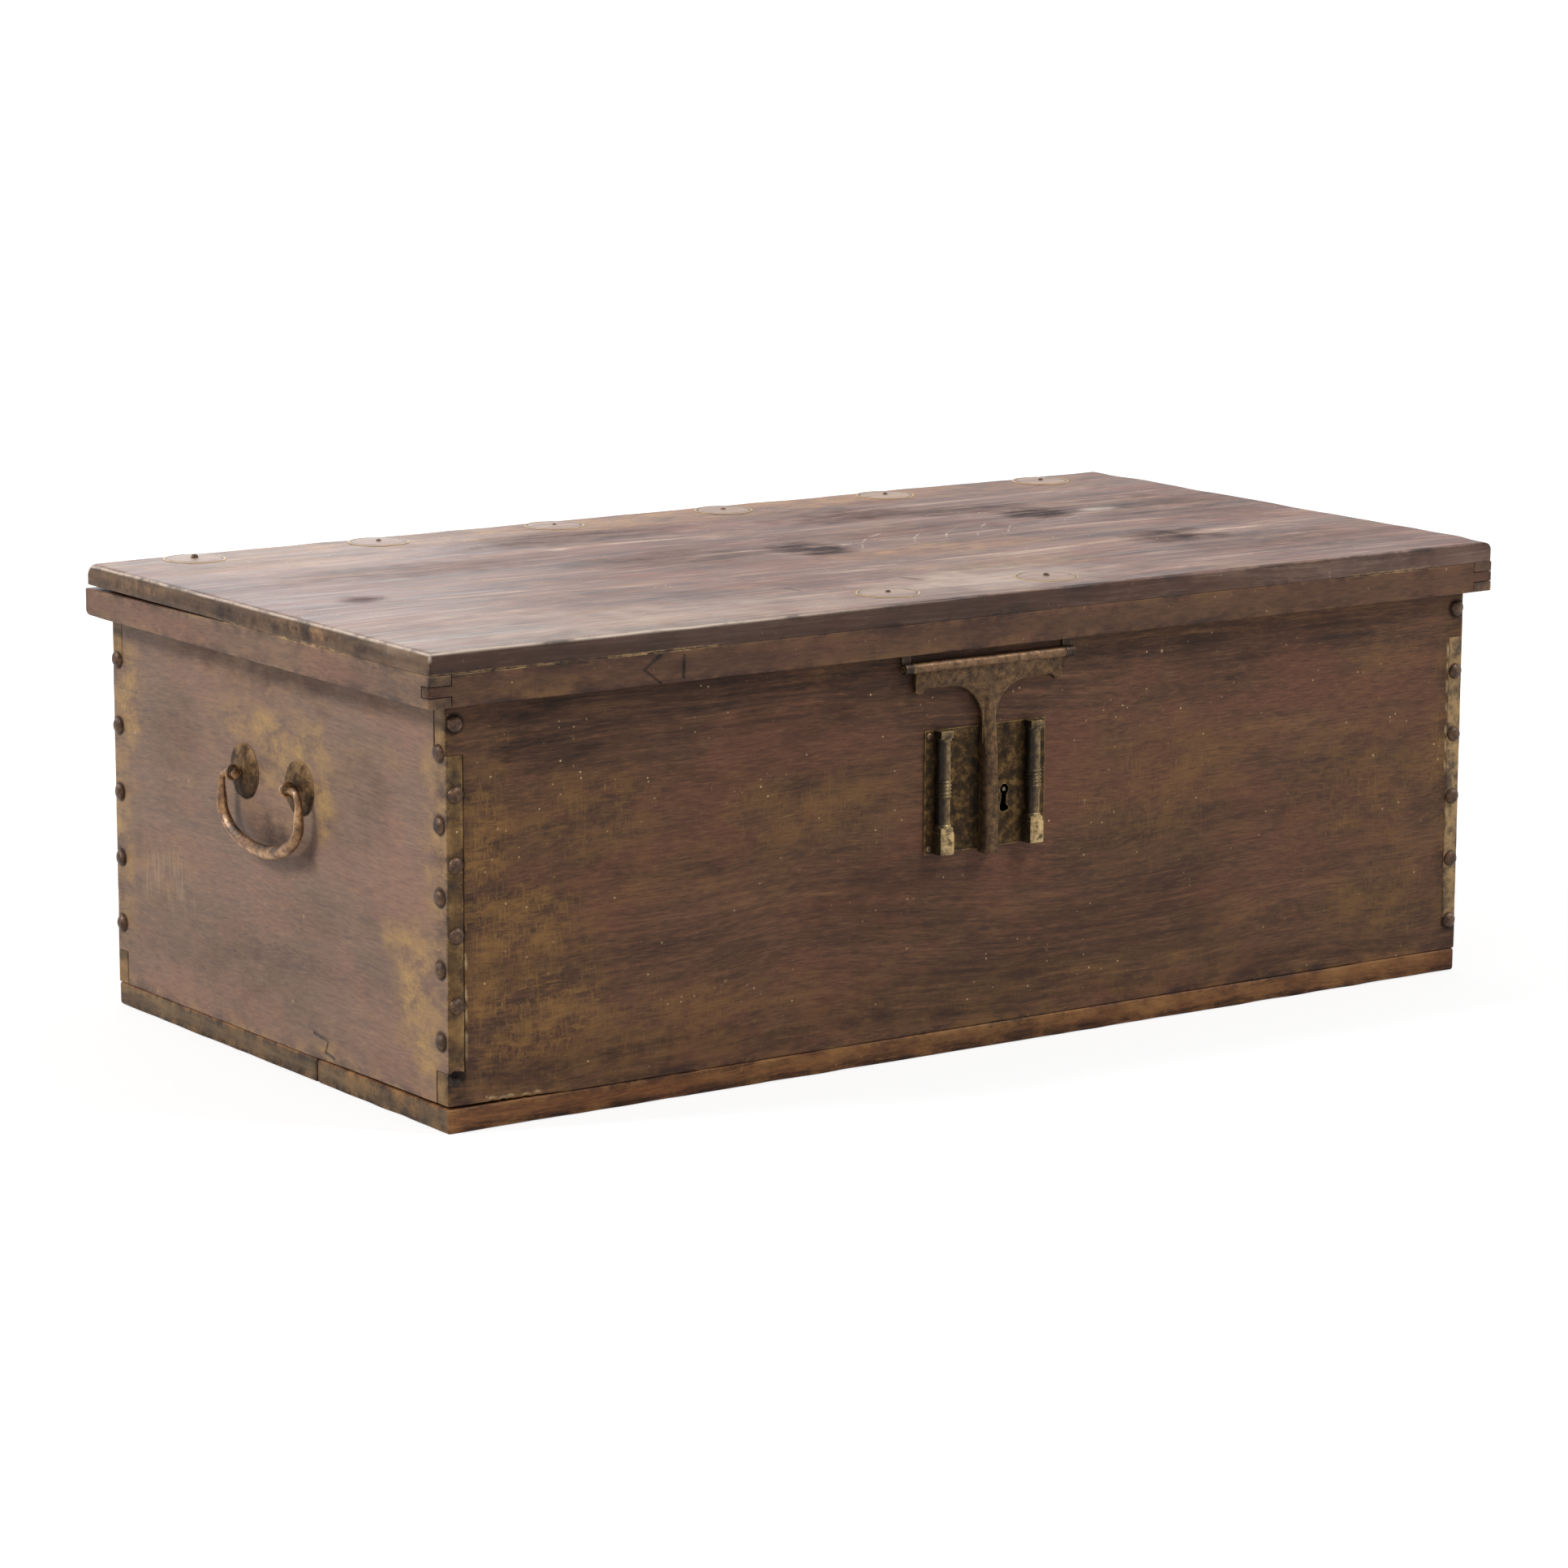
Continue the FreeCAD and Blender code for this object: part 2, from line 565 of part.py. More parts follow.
def end_rail(side):
    """An end rail: fingers at its front corner, its lower rear corner rounded."""
    diagonal_share = 1 - math.sqrt(0.5)
    rear_top = Vector(0, lid_rear, CASE_TOP)
    round_top = Vector(0, lid_rear, rim_bottom + RIM_REAR_ROUND)
    round_middle = Vector(0, lid_rear - RIM_REAR_ROUND * diagonal_share,
                          rim_bottom + RIM_REAR_ROUND * diagonal_share)
    round_bottom = Vector(0, lid_rear - RIM_REAR_ROUND, rim_bottom)
    front_bottom = Vector(0, lid_front, rim_bottom)
    front_top = Vector(0, lid_front, CASE_TOP)
    edges = [
        Part.makeLine(rear_top, round_top),
        Part.Arc(round_top, round_middle, round_bottom).toShape(),
        Part.makeLine(round_bottom, front_bottom),
        Part.makeLine(front_bottom, front_top),
        Part.makeLine(front_top, rear_top),
    ]
    face = Part.Face(Part.Wire(edges))
    face.translate(Vector(side * rim_inside_end, 0, 0))
    rail = face.extrude(Vector(side * (lid_end - rim_inside_end), 0, 0))
    return rail.cut(corner_fingers(side, 1))


def lid_nodes():
    """Lid board, rim rails and the round patches."""
    rail_hole = flush_nail(RAIL_NAIL_LENGTH, NAIL_CLEARANCE)
    rail_holes = [aimed(rail_hole, place, UP) for place in rail_nail_places()]
    lid_hole = rod(Vector(0, 0, -LID_THICKNESS - OVERRUN), Vector(0, 0, PATCH_RISE + OVERRUN),
                   LID_NAIL_RADIUS + NAIL_CLEARANCE)
    lid_holes = [aimed(lid_hole, place, UP) for place in lid_nail_places()]
    parts["lid_board"] = lid_blank().cut(lid_recesses() + rail_holes + lid_holes)
    parts["lid_front_rail"] = front_rail().cut(rail_holes)
    parts["lid_left_rail"] = end_rail(-1).cut(rail_holes)
    parts["lid_right_rail"] = end_rail(1).cut(rail_holes)
    patch = dome(PATCH_RADIUS, PATCH_EDGE, PATCH_RISE)
    patches = [aimed(patch, place, UP).cut(hole) for place, hole in zip(lid_nail_places(), lid_holes)]
    owners = ["hinge_%d" % number for number in range(1, HINGE_COUNT + 1)] + ["hasp"]
    for pair, owner in enumerate(owners):
        parts[owner + "_patches"] = Part.makeCompound(patches[2 * pair:2 * pair + 2])


# Rear hinges

def knuckle(x_pair, y, z):
    """A hinge knuckle along X, still without its bore."""
    return rod_along_x(x_pair, y, z, KNUCKLE_RADIUS)


def pin_bore(x_pair, y, z):
    """The bore that a hinge pin runs in."""
    return rod_along_x((min(x_pair) - OVERRUN, max(x_pair) + OVERRUN), y, z, bore_radius)


def hinge_lid_leaf(centre):
    """The flange under the lid, with a knuckle at each end."""
    half = HINGE_LENGTH / 2
    flange = block((centre - half, centre + half), (half_depth - LID_LEAF_REACH, lid_rear),
                   (leaf_bottom, leaf_top))
    pieces = [flange]
    for end in (-1, 1):
        x_pair = (centre + end * (half - HINGE_END_KNUCKLE), centre + end * half)
        pieces.append(knuckle(x_pair, hinge_axis_y, hinge_axis_z))
        web_y = (lid_rear - LEAF_THICKNESS, lid_rear)
        pieces.append(block(x_pair, web_y, (hinge_axis_z, leaf_top)))
    bore = pin_bore((centre - half, centre + half), hinge_axis_y, hinge_axis_z)
    holes = [rod(place + Vector(0, 0, -LID_THICKNESS - OVERRUN), place, LID_NAIL_RADIUS + NAIL_CLEARANCE)
             for place in lid_nail_places()]
    return joined(pieces).cut([bore] + holes)


def hinge_case_leaf(centre):
    """The leaf on the back of the case, with one long knuckle."""
    half = HINGE_LENGTH / 2 - HINGE_END_KNUCKLE - KNUCKLE_GAP
    x_pair = (centre - half, centre + half)
    plate = block(x_pair, (half_depth, half_depth + LEAF_THICKNESS),
                  (CASE_TOP - CASE_LEAF_DROP, hinge_axis_z))
    roll = knuckle(x_pair, hinge_axis_y, hinge_axis_z)
    hole = nail_hole(NAIL_SHANK_RADIUS, LEAF_NAIL_LENGTH)
    holes = [aimed(hole, place, Vector(0, 1, 0)) for place in leaf_nail_places(centre)]
    return joined([plate, roll]).cut([pin_bore(x_pair, hinge_axis_y, hinge_axis_z)] + holes)


def hinge_nodes():
    """Each rear hinge: two leaves and a pin."""
    for number, centre in enumerate(hinge_centres, 1):
        half = HINGE_LENGTH / 2 + PIN_PROUD
        parts["hinge_%d_lid_leaf" % number] = hinge_lid_leaf(centre)
        parts["hinge_%d_case_leaf" % number] = hinge_case_leaf(centre)
        parts["hinge_%d_pin" % number] = rod_along_x((centre - half, centre + half), hinge_axis_y,
                                                     hinge_axis_z, PIN_RADIUS)


# Hasp

def hasp_lid_leaf():
    """The bent leaf that hangs the hasp: a flange under the lid, a plate behind the rail, two knuckles."""
    half_flange = HASP_FLANGE_WIDTH / 2
    flange = block((LOCK_X - half_flange, LOCK_X + half_flange),
                   (hasp_leaf_front, -half_depth + HASP_FLANGE_REACH), (leaf_bottom, leaf_top))
    behind_rail = block((LOCK_X - hasp_leaf_half, LOCK_X + hasp_leaf_half), (hasp_leaf_front, hasp_leaf_back),
                        (rim_bottom, leaf_top))
    pieces = [flange, behind_rail]
    for end in (-1, 1):
        x_pair = (LOCK_X + end * (hasp_leaf_half - HASP_END_KNUCKLE), LOCK_X + end * hasp_leaf_half)
        pieces.append(block(x_pair, (hasp_leaf_front, hasp_leaf_back), (hasp_axis_z, leaf_top)))
        pieces.append(knuckle(x_pair, hasp_axis_y, hasp_axis_z))
    bore = pin_bore((LOCK_X - hasp_leaf_half, LOCK_X + hasp_leaf_half), hasp_axis_y, hasp_axis_z)
    holes = [rod(place + Vector(0, 0, -LID_THICKNESS - OVERRUN), place, LID_NAIL_RADIUS + NAIL_CLEARANCE)
             for place in lid_nail_places()]
    return joined(pieces).cut([bore] + holes)


def hasp_outline():
    """Outline of the T-shaped hasp, from the knuckle's axis down to the foot of the stem."""
    yoke = HASP_YOKE_WIDTH / 2
    stem = HASP_STEM_WIDTH / 2
    yoke_z = hasp_axis_z - HASP_YOKE_DROP
    tip_z = yoke_z - HASP_TIP_FALL
    foot_z = plate_bottom - HASP_STEM_PAST_PLATE
    sweep_share = math.sqrt(0.5)
    sweep_x = stem + HASP_SWEEP
    sweep_z = yoke_z - HASP_SWEEP

    def half(side):
        """One half of the outline, from the middle of the top to the middle of the foot."""
        def at(x, z):
            return Vector(LOCK_X + side * x, hasp_back, z)
        lines = [at(0, hasp_axis_z), at(yoke, hasp_axis_z), at(yoke, tip_z),
                 at(yoke - HASP_TIP_WIDTH, yoke_z), at(sweep_x, yoke_z)]
        middle = at(sweep_x - HASP_SWEEP * sweep_share, sweep_z + HASP_SWEEP * sweep_share)
        edges = [Part.makeLine(a, b) for a, b in zip(lines, lines[1:])]
        edges.append(Part.Arc(lines[-1], middle, at(stem, sweep_z)).toShape())
        edges.append(Part.makeLine(at(stem, sweep_z), at(stem, foot_z)))
        edges.append(Part.makeLine(at(stem, foot_z), at(0, foot_z)))
        return edges

    return Part.Wire(Part.__sortEdges__(half(-1) + half(1)))


def hasp():
    """The hasp: one long knuckle, a yoke with curved shoulders and a thick stem."""
    x_pair = (LOCK_X - HASP_KNUCKLE / 2, LOCK_X + HASP_KNUCKLE / 2)
    roll = knuckle(x_pair, hasp_axis_y, hasp_axis_z)
    yoke = Part.Face(hasp_outline()).extrude(Vector(0, -HASP_YOKE_THICKNESS, 0))
    stem_half = HASP_STEM_WIDTH / 2
    stem = block((LOCK_X - stem_half, LOCK_X + stem_half), (hasp_back, hasp_back - HASP_STEM_THICKNESS),
                 (plate_bottom - HASP_STEM_PAST_PLATE, hasp_axis_z - HASP_YOKE_DROP))
    return joined([roll, yoke, stem]).cut(pin_bore(x_pair, hasp_axis_y, hasp_axis_z))


def hasp_staple():
    """The staple on the back of the stem, with an eye for the bolt."""
    half = STAPLE_THICKNESS / 2
    body = block((LOCK_X - half, LOCK_X + half), (hasp_back, staple_tip),
                 (bolt_z - staple_half_height, bolt_z + staple_half_height))
    eye_half = BOLT_HEIGHT / 2 + BOLT_CLEARANCE
    eye = block((LOCK_X - half - OVERRUN, LOCK_X + half + OVERRUN), (plate_back, bolt_back + BOLT_CLEARANCE),
                (bolt_z - eye_half, bolt_z + eye_half))
    return body.cut(eye)


def hasp_nodes():
    """Hasp, its leaf on the lid, pin and staple."""
    parts["hasp_lid_leaf"] = hasp_lid_leaf()
    parts["hasp"] = hasp()
    parts["hasp_staple"] = hasp_staple()
    pin_half = hasp_leaf_half + PIN_PROUD
    pin_x = (LOCK_X - pin_half, LOCK_X + pin_half)
    parts["hasp_pin"] = rod_along_x(pin_x, hasp_axis_y, hasp_axis_z, PIN_RADIUS)


# Lock

def keyhole():
    """A round eye over a slot with one ward to the left and one to the right, cut through the plate."""
    y_pair = (plate_face - OVERRUN, plate_back + OVERRUN)
    start = Vector(keyhole_x, min(y_pair), keyhole_z)
    eye = rod(start, Vector(keyhole_x, max(y_pair), keyhole_z), KEYHOLE_RADIUS)
    half = KEYHOLE_SLOT / 2
    foot = keyhole_z - KEYHOLE_REACH
    slot = block((keyhole_x - half, keyhole_x + half), y_pair, (foot, keyhole_z))
    left_ward = block((keyhole_x - half - KEYHOLE_WARD, keyhole_x), y_pair,
                      (foot + KEYHOLE_WARD, foot + KEYHOLE_WARD + KEYHOLE_WARD_HEIGHT))
    right_ward = block((keyhole_x, keyhole_x + half + KEYHOLE_WARD), y_pair,
                       (foot, foot + KEYHOLE_WARD_HEIGHT))
    return [eye, slot, left_ward, right_ward]


def lock_plate():
    """The plate, with its keyhole and a slot that lets the staple in and up."""
    half = plate_width / 2
    plate = block((LOCK_X - half, LOCK_X + half), (plate_face, plate_back), (plate_bottom, plate_top))
    slot_half = STAPLE_THICKNESS / 2 + STAPLE_CLEARANCE
    slot = block((LOCK_X - slot_half, LOCK_X + slot_half), (plate_face - OVERRUN, plate_back + OVERRUN),
                 (bolt_z - staple_half_height - STAPLE_SLOT_DROP, plate_top + OVERRUN))
    hole = nail_hole(LOCK_NAIL_SHANK_RADIUS, LOCK_NAIL_LENGTH)
    nail_holes = [aimed(hole, place, Vector(0, -1, 0)) for place in lock_nail_places()]
    return plate.cut(keyhole() + [slot] + nail_holes)


def colonnette(side):
    """A column on the lock plate: round shaft with rings, square plinth and capital, flat at the back."""
    x = LOCK_X + side * COLUMN_SPACING / 2
    axis_y = plate_face - COLUMN_AXIS_RISE
    shaft_bottom = plate_bottom + PLINTH_HEIGHT
    shaft_top = plate_top - CAPITAL_HEIGHT
    shaft = rod(Vector(x, axis_y, shaft_bottom), Vector(x, axis_y, shaft_top), COLUMN_RADIUS)
    ring_middle = plate_bottom + LOCK_PLATE_HEIGHT * COLUMN_RING_SHARE
    half_rings = (COLUMN_RING_COUNT - 1) / 2
    rings = [Part.makeTorus(COLUMN_RADIUS, COLUMN_RING_RISE,
                            Vector(x, axis_y, ring_middle + (i - half_rings) * COLUMN_RING_PITCH), UP)
             for i in range(COLUMN_RING_COUNT)]
    half = PLINTH_WIDTH / 2
    square = [block((x - half, x + half), (plate_face, plate_face - PLINTH_PROUD), z_pair)
              for z_pair in ((plate_bottom, shaft_bottom), (shaft_top, plate_top))]
    whole = joined([shaft] + rings + square)
    reach = COLUMN_RADIUS + COLUMN_RING_RISE + OVERRUN
    behind = block((x - reach, x + reach), (plate_face, plate_face + reach), (plate_bottom, plate_top))
    return whole.cut(behind)


def lock_case():
    """The box behind the plate that closes the lock, open towards the plate."""
    outer = block((LOCK_X - lock_case_half, LOCK_X + lock_case_half), (plate_back, lock_case_back),
                  (lock_case_bottom, lock_case_top))
    inner_half = lock_case_half - LOCK_CASE_WALL
    inner = block((LOCK_X - inner_half, LOCK_X + inner_half),
                  (plate_back - OVERRUN, lock_case_back - LOCK_CASE_WALL),
                  (lock_case_bottom + LOCK_CASE_WALL, lock_case_top - LOCK_CASE_WALL))
    return outer.cut(inner)


def lock_bolt():
    """The bolt, drawn: its tip waits beside the staple, and the key's bit works in its notch."""
    low = bolt_z - BOLT_HEIGHT / 2
    bar = block((bolt_tip, bolt_tail), (bolt_front, bolt_back), (low, low + BOLT_HEIGHT))
    notch = block((keyhole_x - TALON_WIDTH / 2, keyhole_x + TALON_WIDTH / 2),
                  (bolt_front - OVERRUN, bolt_back + OVERRUN), (low - OVERRUN, low + TALON_DEPTH))
    return bar.cut(notch)


def bolt_guides():
    """Two bridges on the back of the plate that the bolt slides through."""
    half = BOLT_HEIGHT / 2 + BOLT_CLEARANCE
    guides = []
    for start in (bolt_tip + GUIDE_INSET, bolt_tail - GUIDE_INSET - GUIDE_LENGTH):
        x_pair = (start, start + GUIDE_LENGTH)
        bridge = block(x_pair, (plate_back, bolt_back + BOLT_CLEARANCE + GUIDE_WALL),
                       (bolt_z - half - GUIDE_WALL, bolt_z + half + GUIDE_WALL))
        window = block((start - OVERRUN, start + GUIDE_LENGTH + OVERRUN),
                       (plate_back - OVERRUN, bolt_back + BOLT_CLEARANCE), (bolt_z - half, bolt_z + half))
        guides.append(bridge.cut(window))
    return Part.makeCompound(guides)


def bolt_spring():
    """A flat spring on a foot at the back of the plate, its free end just over the bolt."""
    foot_x = LOCK_X + lock_case_half - LOCK_CASE_WALL - SPRING_WALL_GAP - SPRING_FOOT
    bolt_top = bolt_z + BOLT_HEIGHT / 2
    high = bolt_top + SPRING_RISE
    foot = block((foot_x, foot_x + SPRING_FOOT), (plate_back, bolt_back), (high, high + SPRING_FOOT))
    tip_x = foot_x - SPRING_REACH
    low = bolt_top + BOLT_CLEARANCE + GUIDE_WALL + BOLT_CLEARANCE
    leaf = prism([Vector(foot_x, bolt_front, high), Vector(foot_x, bolt_front, high + SPRING_THICKNESS),
                  Vector(tip_x, bolt_front, low + SPRING_THICKNESS), Vector(tip_x, bolt_front, low)],
                 Vector(0, BOLT_THICKNESS, 0))
    return joined([foot, leaf])


def lock_nodes():
    """Everything between the two colonnettes and the back of the lock case."""
    parts["lock_plate"] = lock_plate()
    parts["lock_column_left"] = colonnette(-1)
    parts["lock_column_right"] = colonnette(1)
    parts["lock_case"] = lock_case()
    parts["lock_bolt"] = lock_bolt()
    parts["bolt_guides"] = bolt_guides()
    parts["bolt_spring"] = bolt_spring()
    parts["key_post"] = rod(Vector(keyhole_x, plate_face + KEY_POST_SETBACK, keyhole_z),
                            Vector(keyhole_x, lock_case_back - LOCK_CASE_WALL, keyhole_z), KEY_POST_RADIUS)


# Handles

def eye_shank(side, corner, clearance):
    """The shank of an eye through its rose and the end board; a clearance makes it a hole."""
    y = corner * EYE_SPACING / 2
    outer = half_length + eye_standoff - EYE_RING_RADIUS
    inner = end_inside - clearance
    return rod(Vector(side * inner, y, HANDLE_HEIGHT), Vector(side * outer, y, HANDLE_HEIGHT),
               EYE_SHANK_RADIUS + clearance)


def eye_bolt(side, corner):
    """A ring on a shank, clenched over inside the case."""
    y = corner * EYE_SPACING / 2
    centre = Vector(side * (half_length + eye_standoff), y, HANDLE_HEIGHT)
    ring = Part.makeTorus(EYE_RING_RADIUS, EYE_WIRE_RADIUS, centre, Vector(0, 1, 0))
    clench = block((side * end_inside, side * (end_inside - CLENCH_THICKNESS)),
                   (y - EYE_SHANK_RADIUS, y + EYE_SHANK_RADIUS),
                   (HANDLE_HEIGHT + EYE_SHANK_RADIUS, HANDLE_HEIGHT - CLENCH_LENGTH))
    hole = rod(centre - Vector(0, EYE_RING_RADIUS, 0), centre + Vector(0, EYE_RING_RADIUS, 0),
               EYE_RING_RADIUS - EYE_WIRE_RADIUS)
    return joined([ring, eye_shank(side, corner, 0).cut(hole), clench])


def rose(side, corner):
    """A round domed plate between an eye and the end board."""
    place = Vector(side * half_length, corner * EYE_SPACING / 2, HANDLE_HEIGHT)
    plate = aimed(dome(ROSE_RADIUS, ROSE_EDGE, ROSE_RISE), place, Vector(side, 0, 0))
    return plate.cut(eye_shank(side, corner, NAIL_CLEARANCE))


def circle_at(centre, normal, radius):
    """A round section for a swept bar."""
    return Part.Wire(Part.makeCircle(radius, centre, normal))


def bail(side):
    """A U-shaped bail, thickest at the grip, with its ends turned in through the eyes."""
    x = side * (half_length + eye_standoff)
    arm_y = EYE_SPACING / 2 + BAIL_FLARE - BAIL_ARM_RADIUS
    bend_y = arm_y - BAIL_BEND
    bend_z = HANDLE_HEIGHT - BAIL_BEND
    arm_z = HANDLE_HEIGHT - BAIL_ARM_DROP
    bend_middle = BAIL_BEND * math.sin(math.pi / 4)
    down = Vector(0, 0, -1)

    def at(y, z):
        return Vector(x, y, z)

    grip = at(0, HANDLE_HEIGHT - BAIL_DROP + BAIL_GRIP_RADIUS)
    pieces = []
    for end in (-1, 1):
        arm_top = at(end * arm_y, bend_z)
        arm_low = at(end * arm_y, arm_z)
        bow = Part.ArcOfEllipse(Part.Ellipse(arm_low, grip, at(0, arm_z)), 0, math.pi / 2)
        half = Part.BRepOffsetAPI.MakePipeShell(Part.Wire(bow.toShape()))
        half.add(circle_at(arm_low, down, BAIL_ARM_RADIUS), False, False)
        half.add(circle_at(grip, Vector(0, -end, 0), BAIL_GRIP_RADIUS), False, False)
        half.build()
        half.makeSolid()
        pieces.append(half.shape())
        arm_length = BAIL_ARM_DROP - BAIL_BEND
        pieces.append(Part.makeCone(BAIL_END_RADIUS, BAIL_ARM_RADIUS, arm_length, arm_top, down))
        bend_top = at(end * bend_y, HANDLE_HEIGHT)
        turn = Part.Arc(arm_top, at(end * (bend_y + bend_middle), bend_z + bend_middle), bend_top)
        section = circle_at(arm_top, down, BAIL_END_RADIUS)
        pieces.append(Part.Wire(turn.toShape()).makePipeShell([section], True, False))
        inner_end = at(end * (EYE_SPACING / 2 - BAIL_END_REACH), HANDLE_HEIGHT)
        pieces.append(rod(inner_end, bend_top, BAIL_END_RADIUS))
        pieces.append(Part.makeSphere(BAIL_KNOB_RADIUS, inner_end))
    return joined(pieces)


def handle_nodes():
    """A bail, two eyes and two roses on each end."""
    for side, name in ((-1, "left"), (1, "right")):
        parts[name + "_bail"] = bail(side)
        for corner, place in ((-1, "front"), (1, "rear")):
            parts["%s_%s_eye" % (name, place)] = eye_bolt(side, corner)
            parts["%s_%s_rose" % (name, place)] = rose(side, corner)


def main():
    """Build every piece and write each to its own file."""
    case_nodes()
    nail_nodes()
    lid_nodes()
    hinge_nodes()
    hasp_nodes()
    lock_nodes()
    handle_nodes()
    os.makedirs("parts", exist_ok=True)
    for name, shape in parts.items():
        if not shape.isValid():
            raise ValueError("not a valid solid: " + name)
        shape.exportStep("parts/%s.step" % name)
        print("%-22s %3d solids %12.1f mm3" % (name, len(shape.Solids), shape.Volume))
    print(len(parts), "nodes")


main()
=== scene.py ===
"""Looks of the coffer chest: worn boards, nails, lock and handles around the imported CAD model."""

import math
from functools import partial

import bmesh
import bpy
import numpy as np
from mathutils import Matrix, Vector, noise


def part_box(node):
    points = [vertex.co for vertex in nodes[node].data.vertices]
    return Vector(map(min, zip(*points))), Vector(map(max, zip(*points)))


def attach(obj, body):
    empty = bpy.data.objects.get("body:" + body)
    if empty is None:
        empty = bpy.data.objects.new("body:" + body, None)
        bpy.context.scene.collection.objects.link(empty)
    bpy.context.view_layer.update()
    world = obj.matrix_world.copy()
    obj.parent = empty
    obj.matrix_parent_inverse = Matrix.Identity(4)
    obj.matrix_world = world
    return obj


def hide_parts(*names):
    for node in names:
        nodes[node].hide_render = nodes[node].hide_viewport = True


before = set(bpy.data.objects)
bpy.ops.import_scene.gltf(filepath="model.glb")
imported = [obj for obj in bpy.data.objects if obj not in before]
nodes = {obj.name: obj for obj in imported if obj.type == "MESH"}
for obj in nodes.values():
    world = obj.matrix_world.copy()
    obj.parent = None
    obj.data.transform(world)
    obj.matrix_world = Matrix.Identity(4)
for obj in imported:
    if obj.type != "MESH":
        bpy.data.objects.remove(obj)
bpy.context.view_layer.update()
# Vector noise starts from the clock unless it has a seed
noise.seed_set(1)

# Axes, and sizes in metres that the CAD boxes don't give by themselves; FAR is beyond every board
X, Y, Z = range(3)
FAR = 1.0
TONGUE_LOW = 0.054
TONGUE_HIGH = 0.331
WALL = 0.019
END = 0.017
GLUE_LINE = 0.404
LOCK_X = -0.003
NAIL_RADIUS = 0.0075
NAIL_HEIGHT = 0.005
FRONT_NAILS = 6
END_NAILS = 5

# How boards are worn
EDGE_LINES = (0.0007, 0.0016, 0.003, 0.005)
LID_EDGE_LINES = (0.0008, 0.002, 0.0035, 0.0055, 0.008, 0.011)
EDGE_REACH = 0.006
LEAST_ROUND = 0.0004
UNEVEN = 0.00025

# Edges of metal blocks that turn by more than this angle are eased
SHARP_EDGE = 0.6

# Places taken from the CAD boxes
front_low, front_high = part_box("front_board")
half_length = front_high.x
half_depth = -front_low.y
lid_low, lid_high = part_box("lid_board")
rim_low, rim_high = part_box("lid_front_rail")
plate_low, plate_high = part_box("lock_plate")


# Numbers and places

def evenly(first, last, count):
    """Values at even steps."""
    return [first + (last - first) * i / (count - 1) for i in range(count)]


def arc(centre, radii, start, end, count):
    """Points on an arc of an ellipse between two angles in degrees."""
    angles = [math.radians(angle) for angle in evenly(start, end, count)]
    return [(centre[0] + radii[0] * math.cos(a), centre[1] + radii[1] * math.sin(a)) for a in angles]


def put_in(pair, axis, third):
    """A pair of numbers with a third one put in for an axis."""
    return pair[:axis] + (third,) + pair[axis:]


def marks_on(axis, level, depth, *rows):
    """Marks on a plane across an axis. A row is two places, two radii and a strength."""
    return [(put_in(row[:2], axis, level), put_in(row[2:4], axis, depth), row[4]) for row in rows]


def runs_on(axis, level, runs):
    """Runs of points drawn on a plane across an axis."""
    return [[put_in(spot, axis, level) for spot in run] for run in runs]


def both_ends(low, high):
    """A box at the right end of the chest and its mirror image at the left."""
    return [(low, high), ((-high[0], low[1], low[2]), (-low[0], high[1], high[2]))]


def nail_rows(node, axis, count):
    """How far out the two rows of a group of nails are along an axis, and the heights of the nails."""
    low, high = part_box(node)
    return high[axis] - NAIL_RADIUS, evenly(low.z + NAIL_RADIUS, high.z - NAIL_RADIUS, count)


nail_x, front_heights = nail_rows("back_corner_nails", X, FRONT_NAILS)
nail_y, end_heights = nail_rows("left_end_nails", Y, END_NAILS)


# Mesh helpers

def rough(points, size, seed=0.0):
    """Smooth noise from -1 to 1 at points, with bumps of about the given size."""
    shift = Vector((seed, 1.7 * seed, 2.3 * seed))
    return np.array([noise.noise(Vector(point) / size + shift) for point in points])


def grid_lines(low, high, step, stops, fine):
    """Lines from low to high: through the stops, a step apart, and closer where fine asks for it."""
    marks = {low, high}
    marks.update(stop for stop in stops if low < stop < high)
    for start, end, _ in fine:
        marks.update(value for value in (start, end) if low < value < high)
    marks = sorted(marks)
    lines = [low]
    for a, b in zip(marks, marks[1:]):
        middle = (a + b) / 2
        spacing = min([step] + [close for start, end, close in fine if start < middle < end])
        count = max(1, math.ceil((b - a) / spacing - 0.01))
        lines.extend(a + (b - a) * i / count for i in range(1, count + 1))
    return np.array(lines)


def cell_faces(lines, solid):
    """Points and four-sided faces of the outer skin of the solid cells of a grid."""
    counts = [len(line) for line in lines]
    padded = np.pad(solid, 1)
    faces = []
    for axis in range(3):
        b, c = (axis + 1) % 3, (axis + 2) % 3
        for side in (0, 1):
            beyond = np.roll(padded, 1 - 2 * side, axis)[1:-1, 1:-1, 1:-1]
            corner = np.argwhere(solid & ~beyond)
            corner[:, axis] += side
            ring = [(0, 0), (1, 0), (1, 1), (0, 1)]
            if side == 0:
                ring.reverse()
            quad = []
            for step_b, step_c in ring:
                point = corner.copy()
                point[:, b] += step_b
                point[:, c] += step_c
                quad.append(np.ravel_multi_index(point.T, counts))
            faces.append(np.stack(quad, 1))
    faces = np.concatenate(faces)
    used, order = np.unique(faces, return_inverse=True)
    places = np.unravel_index(used, counts)
    points = np.stack([line[place] for line, place in zip(lines, places)], 1)
    return points, order.reshape(-1, 4)


